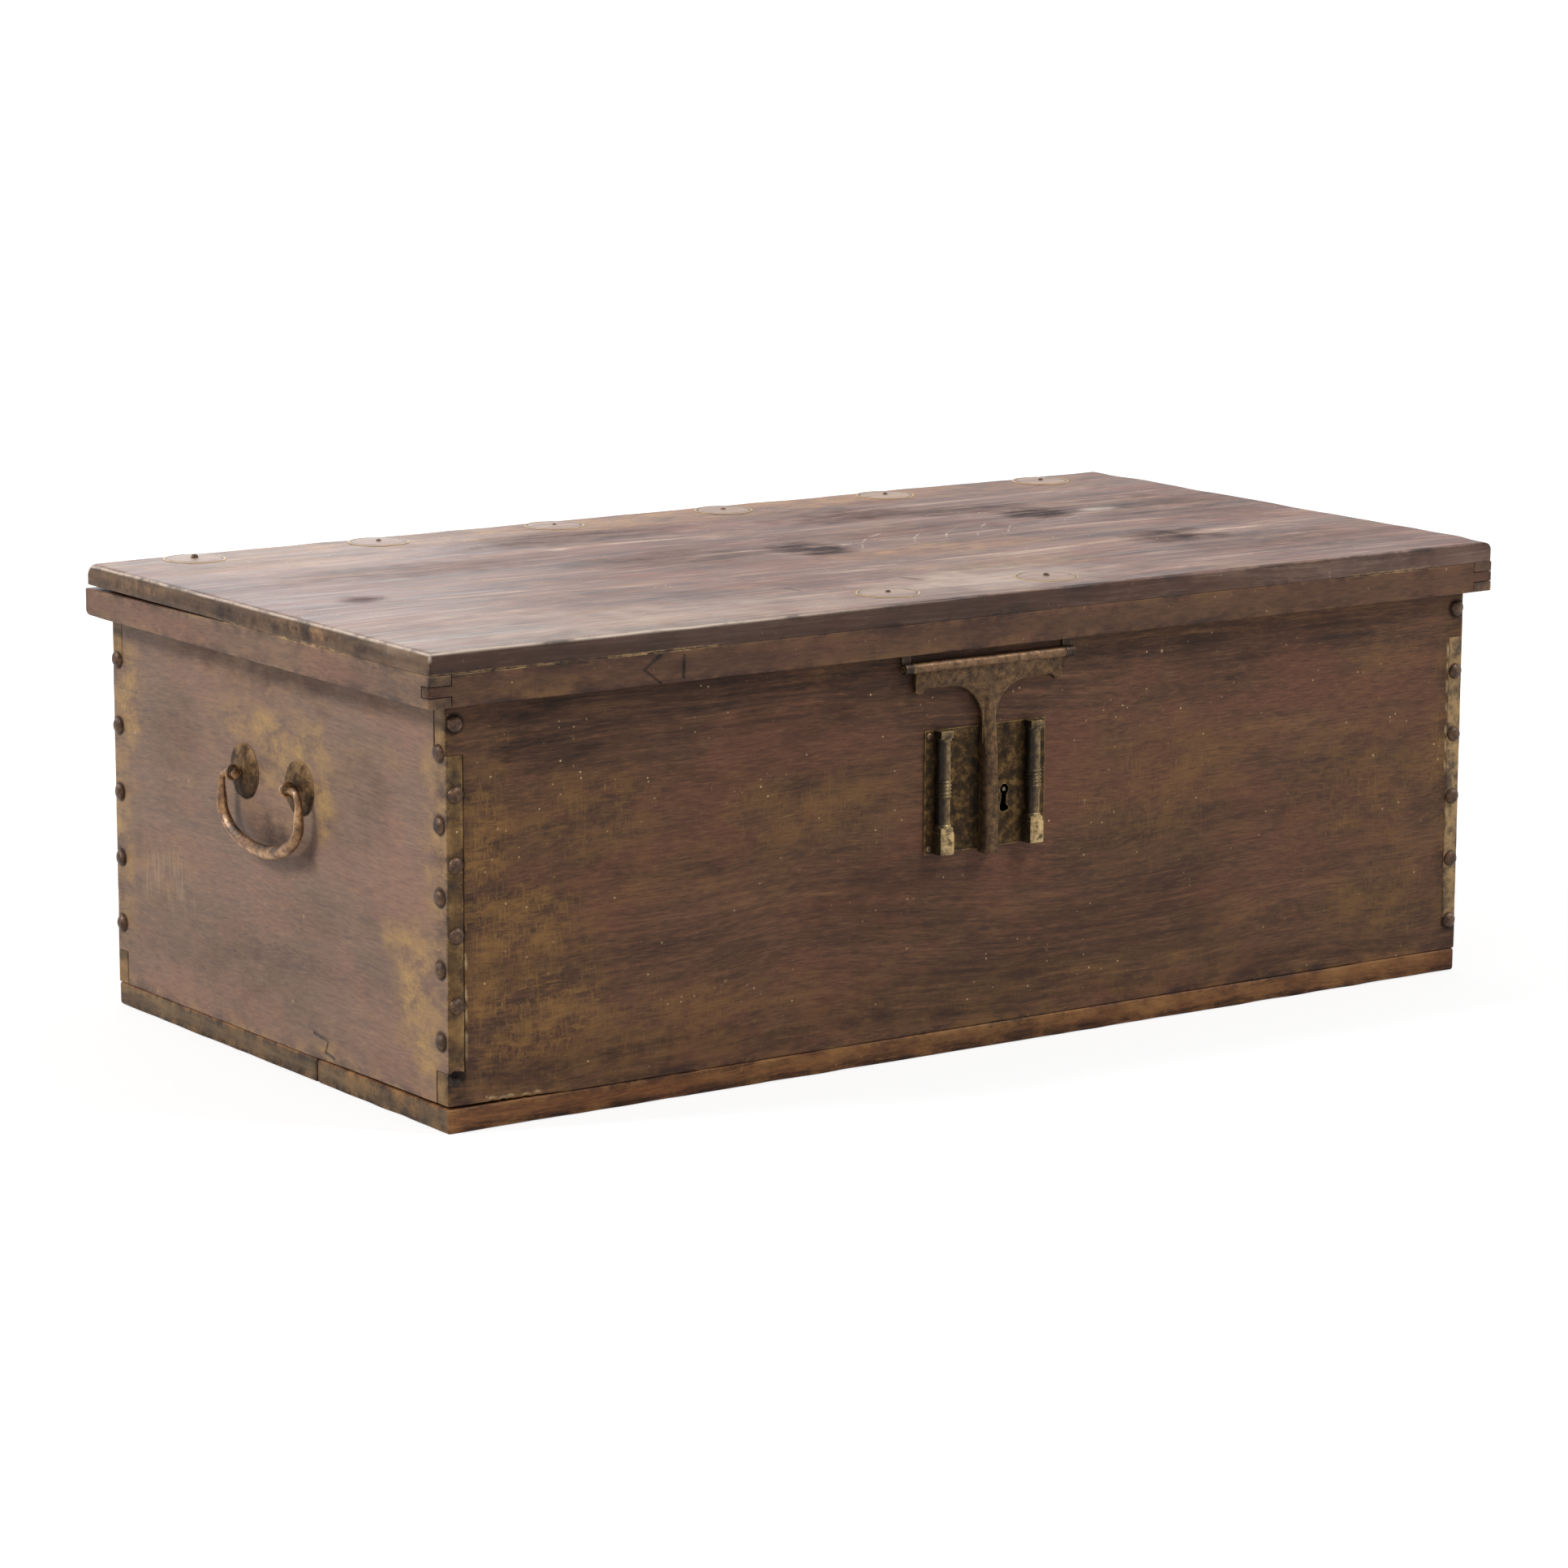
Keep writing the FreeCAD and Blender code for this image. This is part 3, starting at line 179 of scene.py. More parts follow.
def rounded(points, low, high, radius, axes=(X, Y, Z)):
    """Points of a box, pulled in so that its edges are round. The radius may differ from point to point."""
    axes = list(axes)
    radius = np.broadcast_to(np.asarray(radius, float), len(points))[:, None]
    part = points[:, axes]
    core = np.clip(part, low[axes] + radius, high[axes] - radius)
    out = part - core
    length = np.linalg.norm(out, axis=1, keepdims=True)
    shrink = np.minimum(1.0, radius / np.maximum(length, 1e-9))
    points = points.copy()
    points[:, axes] = core + out * shrink
    return points


def worn_edges(points, low, high, wear):
    """The plain shape of a board: every edge a little round."""
    return rounded(points, low, high, np.maximum(wear, LEAST_ROUND))


def edge_nearness(points, low, high):
    """1 at the edges of a box, falling off away from them."""
    gaps = np.sort(np.minimum(points - low, high - points), axis=1)
    return np.exp(-np.maximum(gaps[:, 1], 0) / EDGE_REACH)


def blotches(points, marks):
    """How much of any mark each point has. A mark is a centre, three radii and a strength."""
    ragged = 0.3 * rough(points, 0.025, 3.0)
    total = np.zeros(len(points))
    for centre, radii, strength in marks:
        away = np.linalg.norm((points - np.array(centre)) / np.array(radii), axis=1) + ragged
        total = np.maximum(total, strength * np.clip((1 - away) / 0.6, 0, 1))
    return total


def pitted(points, pits):
    """Points pressed in along a direction. A pit is a centre, a radius and a push."""
    for centre, radius, push in pits:
        away = np.linalg.norm(points - np.array(centre), axis=1) / radius
        away = away * (1 + 0.35 * rough(points, 0.004, 5.0))
        points = points + np.clip(1 - away ** 2, 0, 1)[:, None] * np.array(push)
    return points


def add_values(mesh, name, values):
    """One number for each point of a mesh, for its material."""
    layer = mesh.attributes.new(name, "FLOAT", "POINT")
    layer.data.foreach_set("value", np.asarray(values, np.float32))


def add_object(name, data):
    """A new object in the scene."""
    thing = bpy.data.objects.new(name, data)
    bpy.context.scene.collection.objects.link(thing)
    return thing


def show(mesh, name, material, body, replaced, sharp=40):
    """An object for a mesh, riding on a body in place of CAD nodes."""
    mesh.materials.append(material)
    mesh.shade_smooth()
    mesh.set_sharp_from_angle(angle=math.radians(sharp))
    piece = add_object(name, mesh)
    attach(piece, body)
    if replaced:
        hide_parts(*replaced)
    return piece


def board(name, node, material, body, cuts=(), step=0.006, edge=0.0016, lines=EDGE_LINES,
          fine=((), (), ()), shape=worn_edges, marks=None, pits=()):
    """A worn board in place of a CAD node: cuts are boxes taken out of it, shape rounds and bends it."""
    low, high = (np.array(corner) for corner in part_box(node))
    grids = []
    for axis in range(3):
        stops = [value for cut in cuts for value in (cut[0][axis], cut[1][axis])]
        stops += [low[axis] + line for line in lines] + [high[axis] - line for line in lines]
        stops = [stop for stop in stops if low[axis] + LEAST_ROUND < stop < high[axis] - LEAST_ROUND]
        grids.append(grid_lines(low[axis], high[axis], step, stops, fine[axis]))
    middles = np.meshgrid(*[(line[1:] + line[:-1]) / 2 for line in grids], indexing="ij")
    solid = np.ones(middles[0].shape, bool)
    for cut in cuts:
        inside = [(start < middle) & (middle < end) for start, end, middle in zip(cut[0], cut[1], middles)]
        solid &= ~(inside[0] & inside[1] & inside[2])
    rest, faces = cell_faces(grids, solid)
    wear = edge * (1 + 0.9 * rough(rest, 0.03, 1.0) * (rough(rest, 0.13, 2.0) + 0.6))
    points = pitted(shape(rest, low, high, wear), pits)
    sway = np.stack([rough(rest, 0.11, seed) for seed in (4.0, 5.0, 6.0)], 1)
    points = np.clip(points + UNEVEN * sway, low, high)
    mesh = bpy.data.meshes.new(name)
    mesh.from_pydata(points.tolist(), [], faces.tolist())
    add_values(mesh, "edge", edge_nearness(rest, low, high))
    for kind, spots in (marks or {}).items():
        add_values(mesh, kind, blotches(rest, spots))
    show(mesh, name, material, body, [node])


class Form:
    """A mesh that is put together from turned shapes, pushed outlines and blocks."""

    def __init__(self):
        self.mesh = bmesh.new()

    def turned(self, profile, place, direction, turns, wobble=0.0):
        """Pairs of radius and height turned about a line from a place."""
        start = Vector(place)
        turn = Vector((0, 0, 1)).rotation_difference(Vector(direction)).to_matrix()
        rings = []
        for radius, height in profile:
            ring = []
            for i in range(turns if radius > 0 else 1):
                angle = 2 * math.pi * i / turns
                point = Vector((radius * math.cos(angle), radius * math.sin(angle), height))
                if wobble:
                    bump = noise.noise((point + 3.1 * start) * 140)
                    point.x *= 1 + wobble * bump
                    point.y *= 1 + wobble * bump
                    point.z += wobble * 0.25 * NAIL_RADIUS * noise.noise((point + 2.3 * start) * 200)
                ring.append(self.mesh.verts.new(start + turn @ point))
            rings.append(ring)
        for a, b in zip(rings, rings[1:]):
            for i in range(turns):
                j = (i + 1) % turns
                corners = [a[i % len(a)], a[j % len(a)], b[j % len(b)], b[i % len(b)]]
                corners = [v for k, v in enumerate(corners) if v not in corners[:k]]
                self.mesh.faces.new(corners)

    def extruded(self, faces, push):
        """Faces pushed along a vector. Gives the points that moved."""
        grown = bmesh.ops.extrude_face_region(self.mesh, geom=faces)["geom"]
        moved = [item for item in grown if isinstance(item, bmesh.types.BMVert)]
        bmesh.ops.translate(self.mesh, verts=moved, vec=push)
        return moved

    def pushed(self, outline, push, bevel):
        """A flat outline pushed along a vector, with its edges eased."""
        face = self.mesh.faces.new([self.mesh.verts.new(point) for point in outline])
        moved = self.extruded([face], push)
        faces = list(dict.fromkeys([face] + [f for v in moved for f in v.link_faces]))
        bmesh.ops.recalc_face_normals(self.mesh, faces=faces)
        edges = dict.fromkeys(e for f in faces for e in f.edges if e.calc_face_angle(0) > SHARP_EDGE)
        bmesh.ops.bevel(self.mesh, geom=list(edges), offset=bevel, segments=2, profile=0.5, affect="EDGES")

    def sheet(self, outline, hole, push):
        """A flat outline with a hole in it, pushed along a vector."""
        edges = []
        for loop in (outline, hole):
            points = [self.mesh.verts.new(point) for point in loop]
            edges += [self.mesh.edges.new(pair) for pair in zip(points, points[1:] + points[:1])]
        filled = bmesh.ops.triangle_fill(self.mesh, use_beauty=True, edges=edges)["geom"]
        self.extruded([item for item in filled if isinstance(item, bmesh.types.BMFace)], push)
        bmesh.ops.recalc_face_normals(self.mesh, faces=self.mesh.faces[:])

    def lofted(self, rings):
        """Rings of points joined one after the other, with both ends closed."""
        rings = [[self.mesh.verts.new(point) for point in ring] for ring in rings]
        count = len(rings[0])
        faces = [self.mesh.faces.new(rings[0]), self.mesh.faces.new(rings[-1])]
        for a, b in zip(rings, rings[1:]):
            for i in range(count):
                j = (i + 1) % count
                faces.append(self.mesh.faces.new([a[i], a[j], b[j], b[i]]))
        bmesh.ops.recalc_face_normals(self.mesh, faces=faces)

    def brick(self, low, high, bevel):
        """A block between two corners with eased edges."""
        corners = ((low[0], low[2]), (high[0], low[2]), (high[0], high[2]), (low[0], high[2]))
        outline = [Vector((x, low[1], z)) for x, z in corners]
        self.pushed(outline, Vector((0, high[1] - low[1], 0)), bevel)

    def piece(self, name, material, body, slot, replaced, sharp=40):
        """The finished object."""
        mesh = bpy.data.meshes.new(name)
        self.mesh.to_mesh(mesh)
        self.mesh.free()
        return show(mesh, name, material, body, replaced, sharp)


# Material helpers

def tone(red, green, blue):
    """A colour written as it looks on a screen, from 0 to 255, as the shader needs it."""
    parts = [value / 255 for value in (red, green, blue)]
    linear = [part / 12.92 if part <= 0.04045 else ((part + 0.055) / 1.055) ** 2.4 for part in parts]
    return linear + [1.0]


class Value:
    """A number that nodes work out. Each sum with it adds a node."""

    def __init__(self, wiring, socket):
        self.wiring = wiring
        self.socket = socket

    def __add__(self, other):
        return self.wiring.math("ADD", self, other)

    def __sub__(self, other):
        return self.wiring.math("SUBTRACT", self, other)

    def __rsub__(self, other):
        return self.wiring.math("SUBTRACT", other, self)

    def __mul__(self, other):
        return self.wiring.math("MULTIPLY", self, other)


class Wiring:
    """A short way to wire nodes. Plain numbers, values and sockets can go into a node."""

    def __init__(self, tree):
        self.tree = tree

    def node(self, kind, *inputs, named=None, **settings):
        """A new node with its settings and its inputs, which come in order or by name."""
        node = self.tree.nodes.new("ShaderNode" + kind)
        for name, setting in settings.items():
            setattr(node, name, setting)
        for key, given in [*enumerate(inputs), *(named or {}).items()]:
            if isinstance(given, Value):
                given = given.socket
            if isinstance(given, bpy.types.NodeSocket):
                self.tree.links.new(given, node.inputs[key])
            else:
                node.inputs[key].default_value = given
        return node

    def math(self, operation, a, b=0.0, clamp=False):
        """One sum."""
        return Value(self, self.node("Math", a, b, operation=operation, use_clamp=clamp).outputs[0])

    def larger(self, a, b):
        """The larger of two values."""
        return self.math("MAXIMUM", a, b)

    def remap(self, value, start, end, low=0.0, high=1.0):
        """A value from start to end becomes low to high, and stays between them."""
        return Value(self, self.node("MapRange", value, start, end, low, high).outputs[0])

    def seen(self):
        """1 for what the camera sees, also in mirrors and through glass."""
        path = self.node("LightPath").outputs
        direct = self.larger(path["Is Camera Ray"], path["Is Glossy Ray"])
        return self.larger(direct, path["Is Transmission Ray"])


class Shader(Wiring):
    """A material that is painted layer by layer. Colours are screen tones from 0 to 255."""

    def __init__(self, name):
        self.material = bpy.data.materials.new(name)
        self.material.use_nodes = True
        super().__init__(self.material.node_tree)
        self.tree.nodes.clear()
        place = self.node("TexCoord")
        self.place = place.outputs["Object"]
        self.facing = place.outputs["Normal"]
        self.colour = None

    def vector(self, operation, a, b=(0, 0, 0), scale=1.0):
        """One sum of vectors."""
        node = self.node("VectorMath", a, b, (0, 0, 0), scale, operation=operation)
        return node.outputs["Value" if operation in ("DOT_PRODUCT", "DISTANCE") else "Vector"]

    def split(self, vector):
        """The three parts of a vector."""
        return [Value(self, socket) for socket in self.node("SeparateXYZ", vector).outputs]

    def noise(self, place, sizes, detail=4.0, harsh=0.55, seed=0.0, colour=False):
        """Noise whose bumps have one size, or three along X, Y and Z."""
        if isinstance(sizes, float):
            sizes = (sizes, sizes, sizes)
        scaled = self.vector("MULTIPLY", place, [1 / size for size in sizes])
        moved = self.vector("ADD", scaled, (seed, 1.7 * seed, 2.3 * seed))
        named = {"Vector": moved, "Scale": 1.0, "Detail": detail, "Roughness": harsh}
        return Value(self, self.node("TexNoise", named=named).outputs["Color" if colour else "Fac"])

    def specks(self, pitch, size, share, seed):
        """Small scattered dots: their pitch, their size and the share of places that have one."""
        moved = self.vector("ADD", self.place, (seed, seed, seed))
        cells = self.node("TexVoronoi", named={"Vector": moved, "Scale": 1 / pitch}).outputs
        chosen = self.math("LESS_THAN", self.split(cells["Color"])[0], share)
        return chosen * self.remap(cells["Distance"], size / pitch, 0.4 * size / pitch)

    def value(self, name):
        """A number that the mesh carries at each point."""
        return Value(self, self.node("Attribute", attribute_name=name).outputs["Fac"])

    def line(self, place, start, end, width):
        """1 on a straight scratch or crack, 0 a width away from it."""
        start, run = Vector(start), Vector(end) - Vector(start)
        offset = self.vector("SUBTRACT", place, start)
        along = self.math("ADD", self.vector("DOT_PRODUCT", offset, run / run.length_squared), 0.0, True)
        nearest = self.vector("SCALE", run, scale=along)
        return self.remap(self.vector("DISTANCE", offset, nearest), width, 0.3 * width)

    def lines(self, place, runs, width):
        """1 on any of several runs of points."""
        total = 0.0
        for run in runs:
            for start, end in zip(run, run[1:]):
                total = self.larger(self.line(place, start, end, width), total)
        return total

    def ramp(self, value, tones, places):
        """Colours at their places along a value."""
        node = self.node("ValToRGB", value)
        bar = node.color_ramp.elements
        while len(bar) < len(tones):
            bar.new(0.5)
        for element, place, colour in zip(bar, places, tones):
            element.position = place
            element.color = tone(*colour)
        return node.outputs["Color"]

    def paint(self, share, colour):
        """A colour laid over the ones before it, by a share."""
        if isinstance(colour, tuple):
            colour = tone(*colour)
        layers = {0: share, 6: self.colour, 7: colour}
        self.colour = self.node("Mix", named=layers, data_type="RGBA").outputs[2]

    def output(self, shader):
        """The material with a shader as its surface."""
        self.node("OutputMaterial", shader.outputs[0])
        return self.material

    def finish(self, roughness, height, depth, specular=0.5, metallic=0.0):
        """The material with its painted colour, its roughness and its relief."""
        bump = self.node("Bump", named={"Strength": 1.0, "Distance": depth, "Height": height})
        look = {"Base Color": self.colour, "Roughness": roughness, "Normal": bump.outputs[0],
                "Specular IOR Level": specular, "Metallic": metallic}
        return self.output(self.node("BsdfPrincipled", named=look))


# Wood

DIRT = (22, 15, 11)
DRIED_GLUE = (172, 143, 100)
SCRIBED = (30, 20, 15)
CRACKED = (12, 8, 6)
LINE_SHAKE = 0.005


def nail_rings(s, axis, out, heights):
    """Bruised rings in the wood round a row of nails at both ends of a board."""
    spot = s.split(s.place)
    pitch = heights[1] - heights[0]
    aside = s.math("ABSOLUTE", spot[axis]) - out
    above = s.math("FLOORED_MODULO", spot[Z] - (heights[0] - pitch / 2), pitch) - pitch / 2
    return s.remap(s.math("SQRT", aside * aside + above * above), 0.0108, 0.008)


def wood(name, along, across, tones, end_tones, red_tone, worn_tone, pale_tone, specular, roughness,
         streak=0.005, strand=0.016, contrast=0.15, relief=0.0004, coarse=1.0, weave_share=0.2, haze=0.12,
         stain_and_shadow_streak=0.65, shaded_side_tone=None, cracks=(), scribes=(), scratches=(), nails=None):
    """Old waxed wood with its grain along one axis, rubbed along it and across it."""
    s = Shader(name)
    dark, light = tones[0], tones[-1]
    drift = s.vector("SCALE", s.noise(s.place, 0.6, 2.0, colour=True), scale=0.08)
    drifted = s.vector("ADD", s.place, drift)

    def grain(length, width, detail, seed, axis=along):
        sizes = [width, width, width]
        sizes[axis] = length
        return s.noise(drifted, sizes, detail, 0.68, seed)

    def clouds(size, seed):
        sizes = [size, size, size]
        sizes[along] = 2 * size
        return s.noise(s.place, sizes, 9.0, 0.72, seed)

    # Grain
    broad = grain(0.6, 0.045, 6.0, 1.0)
    middle = grain(32 * streak, streak, 7.0, 2.0)
    pores = grain(0.02 * coarse, 0.0014 * coarse, 3.0, 3.0)
    fine = grain(strand, 0.0017 * coarse, 6.0, 11.0)
    hairs = grain(0.03, 0.0009, 2.0, 15.0)
    figure = s.remap(broad * 0.35 + middle * 0.4 + pores * 0.25, 0.5 - contrast, 0.5 + contrast)
    s.colour = s.ramp(figure, tones, evenly(0.0, 1.0, len(tones)))
    layers = ((clouds(0.08, 13.0), 0.47, 0.6, 0.6, red_tone), (clouds(0.1, 4.0), 0.5, 0.7, 0.45, dark),
              (clouds(0.06, 14.0), 0.52, 0.72, 0.35, worn_tone), (fine, 0.5, 0.66, 0.4, dark),
              (fine, 0.48, 0.34, 0.4, light), (pores, 0.54, 0.7, 0.5, dark), (hairs, 0.55, 0.7, 0.4, dark))
    for value, start, end, share, layer_tone in layers:
        s.paint(s.remap(value, start, end, 0.0, share), layer_tone)

    # End grain
    facing = s.split(s.facing)
    ends = s.remap(s.math("ABSOLUTE", facing[along]), 0.75, 0.95)
    grit = s.noise(s.place, (0.05, 0.12, 0.016), 9.0, 0.7, 5.0)
    s.paint(ends, s.ramp(grit, end_tones, (0.36, 0.62)))

    # Rubbed, stained and bleached places; the stains also carry painted shadows and the pale marks a painted
    # sheen
    scuff = clouds(0.024, 6.0)
    weave = s.larger(grain(0.016, 0.0022, 5.0, 7.0), grain(0.012, 0.0022, 5.0, 8.0, across))
    rubbing = weave * weave_share + scuff * (1 - weave_share)
    streaky = middle * stain_and_shadow_streak + scuff * (1 - stain_and_shadow_streak)
    worn = s.value("worn")
    # Real stains, and painted shadows where the marks are placed in shade
    stain_and_shadow = s.value("stain_and_shadow") * s.remap(streaky, 0.63, 0.4)
    s.paint(worn * weave_share, dark)
    s.paint(worn * s.remap(rubbing, 0.53 - haze, 0.53 + haze), worn_tone)
    s.paint(stain_and_shadow, dark)
    # Pale spots and chips, and a painted sheen where the marks are placed
    s.paint(s.value("pale_marks_and_sheen") * s.remap(scuff, 0.35, 0.6, 0.4, 1.0), pale_tone)
    dots = s.larger(s.specks(0.007, 0.0012, 0.25, 0.3), s.specks(0.041, 0.0024, 0.2, 0.7))
    dots = dots * s.remap(scuff, 0.48, 0.62, 0.0, 0.95)
    s.paint(s.larger(s.remap(weave, 0.66, 0.8, 0.0, 0.25), dots), pale_tone)
    rasp = s.value("rasp") * grain(0.09, 0.0045, 1.0, 9.0, across)
    s.paint(s.remap(rasp, 0.4, 0.7, 0.0, 0.2), pale_tone)
    height = figure * 0.3 - pores * 0.6 - weave * 0.35

    # Edges
    edge = s.value("edge")
    spot = s.split(s.place)
    # Painted shade: the lid's sides are darker than its top, more towards the left end
    if shaded_side_tone:
        shaded_sides = s.remap(facing[Z], 0.75, 0.35) * (1.0 - ends)
        s.paint(shaded_sides * s.remap(spot[along], 0.0, 0.4, 0.85, 0.55), shaded_side_tone)
        # Painted highlight along the rounded top edge, stronger towards the left end
        ridge = s.remap(edge, 0.6, 0.85) * s.remap(spot[Z], lid_high.z - 0.009, lid_high.z - 0.004)
        s.paint(ridge * s.remap(spot[along], -0.05, -0.35, 0.0, 0.6), pale_tone)
    else:
        s.paint(edge * s.remap(scuff, 0.48, 0.62, 0.0, 0.6), worn_tone)
    s.paint(edge * s.remap(scuff, 0.52, 0.38, 0.0, 0.75), DIRT)
    if nails:
        ring = nail_rings(s, *nails)
        s.paint(ring * 0.8, DIRT)
        height = height - ring * 1.5

    # Lines that are drawn on, a little shaky in the plane of the board
    sway = [LINE_SHAKE if axis in (along, across) else 0.0 for axis in range(3)]
    shake = s.vector("MULTIPLY", s.noise(s.place, 0.03, 2.0, colour=True), sway)
    shaken = s.vector("SUBTRACT", s.vector("ADD", s.place, shake), [part / 2 for part in sway])
    drawn = ((scratches, 0.0015, (0.44, 0.6, 0.0, 0.45), pale_tone, 0.0),
             (scribes, 0.0013, (0.36, 0.6, 0.9, 0.3), SCRIBED, 0.0),
             (cracks, 0.002, (0.4, 0.62, 1.0, 0.4), CRACKED, 5.0))
    for runs, width, strength, line_tone, depth in drawn:
        if runs:
            mark = s.lines(shaken, runs, width) * s.remap(scuff, *strength)
            s.paint(mark, line_tone)
            height = height - mark * depth

    # Dried glue along the seam under the lid
    level = s.math("ABSOLUTE", spot[Z] - GLUE_LINE)
    flecks = s.noise(s.place, (0.012, 0.012, 0.003), 5.0, 0.7, 10.0)
    seam = s.remap(level, 0.0018, 0.0006) * s.remap(flecks, 0.44, 0.6)
    s.paint(seam * s.value("glue"), DRIED_GLUE)
    shine = s.remap(middle, 0.3, 0.7, roughness - 0.07, roughness + 0.09)
    return s.finish(shine + stain_and_shadow * 0.3, height, relief, specular)


DARK_END = [(38, 26, 12), (93, 64, 27)]
FACE_END = [(84, 62, 42), (138, 108, 70)]
RIM_END = [(46, 33, 25), (98, 73, 54)]
END_CRACK = [[(-0.070, 0.045), (-0.095, 0.041), (-0.090, 0.031), (-0.105, 0.028)]]
LID_SCRATCHES = [
    [(-0.040, 0.012), (-0.014, -0.005)], [(0.063, -0.018), (0.082, 0.012), (0.105, 0.036), (0.133, 0.053)],
    [(0.128, -0.014), (0.150, 0.018), (0.176, 0.042)], [(0.165, -0.014), (0.190, 0.020), (0.222, 0.050)],
    [(0.205, -0.010), (0.230, 0.024), (0.264, 0.056)], [(0.250, 0.000), (0.268, 0.024), (0.294, 0.044)],
    [(0.292, 0.004), (0.312, 0.030), (0.340, 0.050)], [(0.334, 0.020), (0.350, 0.038), (0.376, 0.052)],
    [(-0.037, -0.227), (-0.010, -0.245)],
]
LID_CHIPS = [[(-0.1415, -0.18), (-0.139, -0.201)], [(-0.015, -0.186), (-0.008, -0.210)]]
LID_SPLITS = [[(-0.50, -0.02), (-0.48, -0.035), (-0.47, -0.02)], [(0.30, 0.22), (0.45, 0.225)],
              [(-0.25, 0.10), (-0.05, 0.095)], [(0.05, -0.10), (0.25, -0.108)]]
REPAIR = [[(-0.364, 0.3765), (-0.381, 0.389), (-0.364, 0.400)], [(-0.341, 0.3985), (-0.341, 0.379)]]
OPEN_JOINT = [[(-0.574, 0.4035), (-0.53, 0.4025), (-0.47, 0.4035), (-0.415, 0.4035)]]
front_wood = wood(
    "front_wood", X, Z, [(32, 21, 15), (74, 49, 36), (98, 67, 49), (128, 94, 64)], FACE_END,
    (106, 66, 49), (134, 99, 55), (204, 178, 136), 0.2, 0.5, weave_share=0.46, haze=0.06,
    nails=(X, nail_x, front_heights))
end_wood = wood(
    "end_wood", Y, Z, [(72, 55, 47), (108, 84, 71), (124, 98, 82), (142, 114, 92)], DARK_END,
    (134, 97, 78), (164, 130, 79), (192, 172, 140), 0.28, 0.5, weave_share=0.25, haze=0.09, stain_and_shadow_streak=0.1,
    nails=(Y, nail_y, end_heights), cracks=runs_on(X, -half_length, END_CRACK))
base_wood = wood(
    "base_wood", X, Z, [(44, 26, 16), (94, 59, 35), (122, 79, 47), (152, 105, 63)],
    [(62, 48, 37), (116, 93, 66)], (118, 68, 38), (150, 110, 64), (178, 150, 112), 0.2, 0.52, streak=0.004)
lid_wood = wood(
    "lid_wood", X, Y, [(36, 21, 20), (92, 67, 62), (124, 95, 85), (190, 162, 144)],
    [(62, 46, 35), (112, 86, 62)], (120, 76, 62), (166, 126, 86), (222, 204, 186), 0.19, 0.42,
    streak=0.012, strand=0.12, contrast=0.11, relief=0.00012, coarse=2.2, weave_share=0.1, stain_and_shadow_streak=0.5,
    shaded_side_tone=(60, 42, 33), scratches=runs_on(Z, lid_high.z, LID_SCRATCHES),
    scribes=runs_on(Z, lid_high.z, LID_SPLITS), cracks=runs_on(Z, lid_high.z, LID_CHIPS))
rim_wood = wood(
    "rim_wood", X, Z, [(46, 31, 24), (76, 52, 41), (92, 64, 50), (110, 80, 61)], RIM_END,
    (98, 65, 51), (120, 89, 56), (172, 148, 112), 0.2, 0.5, contrast=0.22,
    scribes=runs_on(Y, rim_low.y, OPEN_JOINT), cracks=runs_on(Y, rim_low.y, REPAIR))
rim_end_wood = wood(
    "rim_end_wood", Y, Z, [(62, 44, 35), (93, 70, 57), (108, 82, 66), (126, 99, 78)], RIM_END,
    (126, 87, 68), (146, 116, 78), (190, 168, 136), 0.28, 0.5, weave_share=0.1)


def patch_material():
    """Paler plugs with a dark seam round them and a yellowed border."""
    s = Shader("patch_wood")
    streaks = s.noise(s.place, (0.2, 0.012, 0.012), 4.0, 0.6, 1.0)
    s.colour = s.ramp(streaks, [(116, 92, 80), (142, 116, 102), (166, 142, 124)], (0.35, 0.5, 0.68))
    pores = s.noise(s.place, (0.02, 0.001, 0.001), 2.0, 0.6, 2.0)
    s.paint(s.remap(pores, 0.5, 0.72, 0.0, 0.4), (96, 74, 62))
    uneven = s.remap(s.noise(s.place, 0.012, 3.0, seed=3.0), 0.3, 0.7, -0.03, 0.03)
    ragged = s.value("rim") + uneven
    s.paint(s.remap(ragged, 0.86, 0.9), (70, 50, 38))
    s.paint(s.remap(ragged, 0.93, 0.96), (172, 142, 96))
    return s.finish(s.remap(streaks, 0.3, 0.7, 0.38, 0.52), pores, 0.0003)


patch_wood = patch_material()

# Metal

# Tones for painted shade on sides that look left and for painted cast shadows on the lock plate
PAINTED_SIDE_SHADE = (12, 9, 6)
PAINTED_SHADOW_TONE = (17, 12, 7)
RUBBED_EDGE = 0.0015


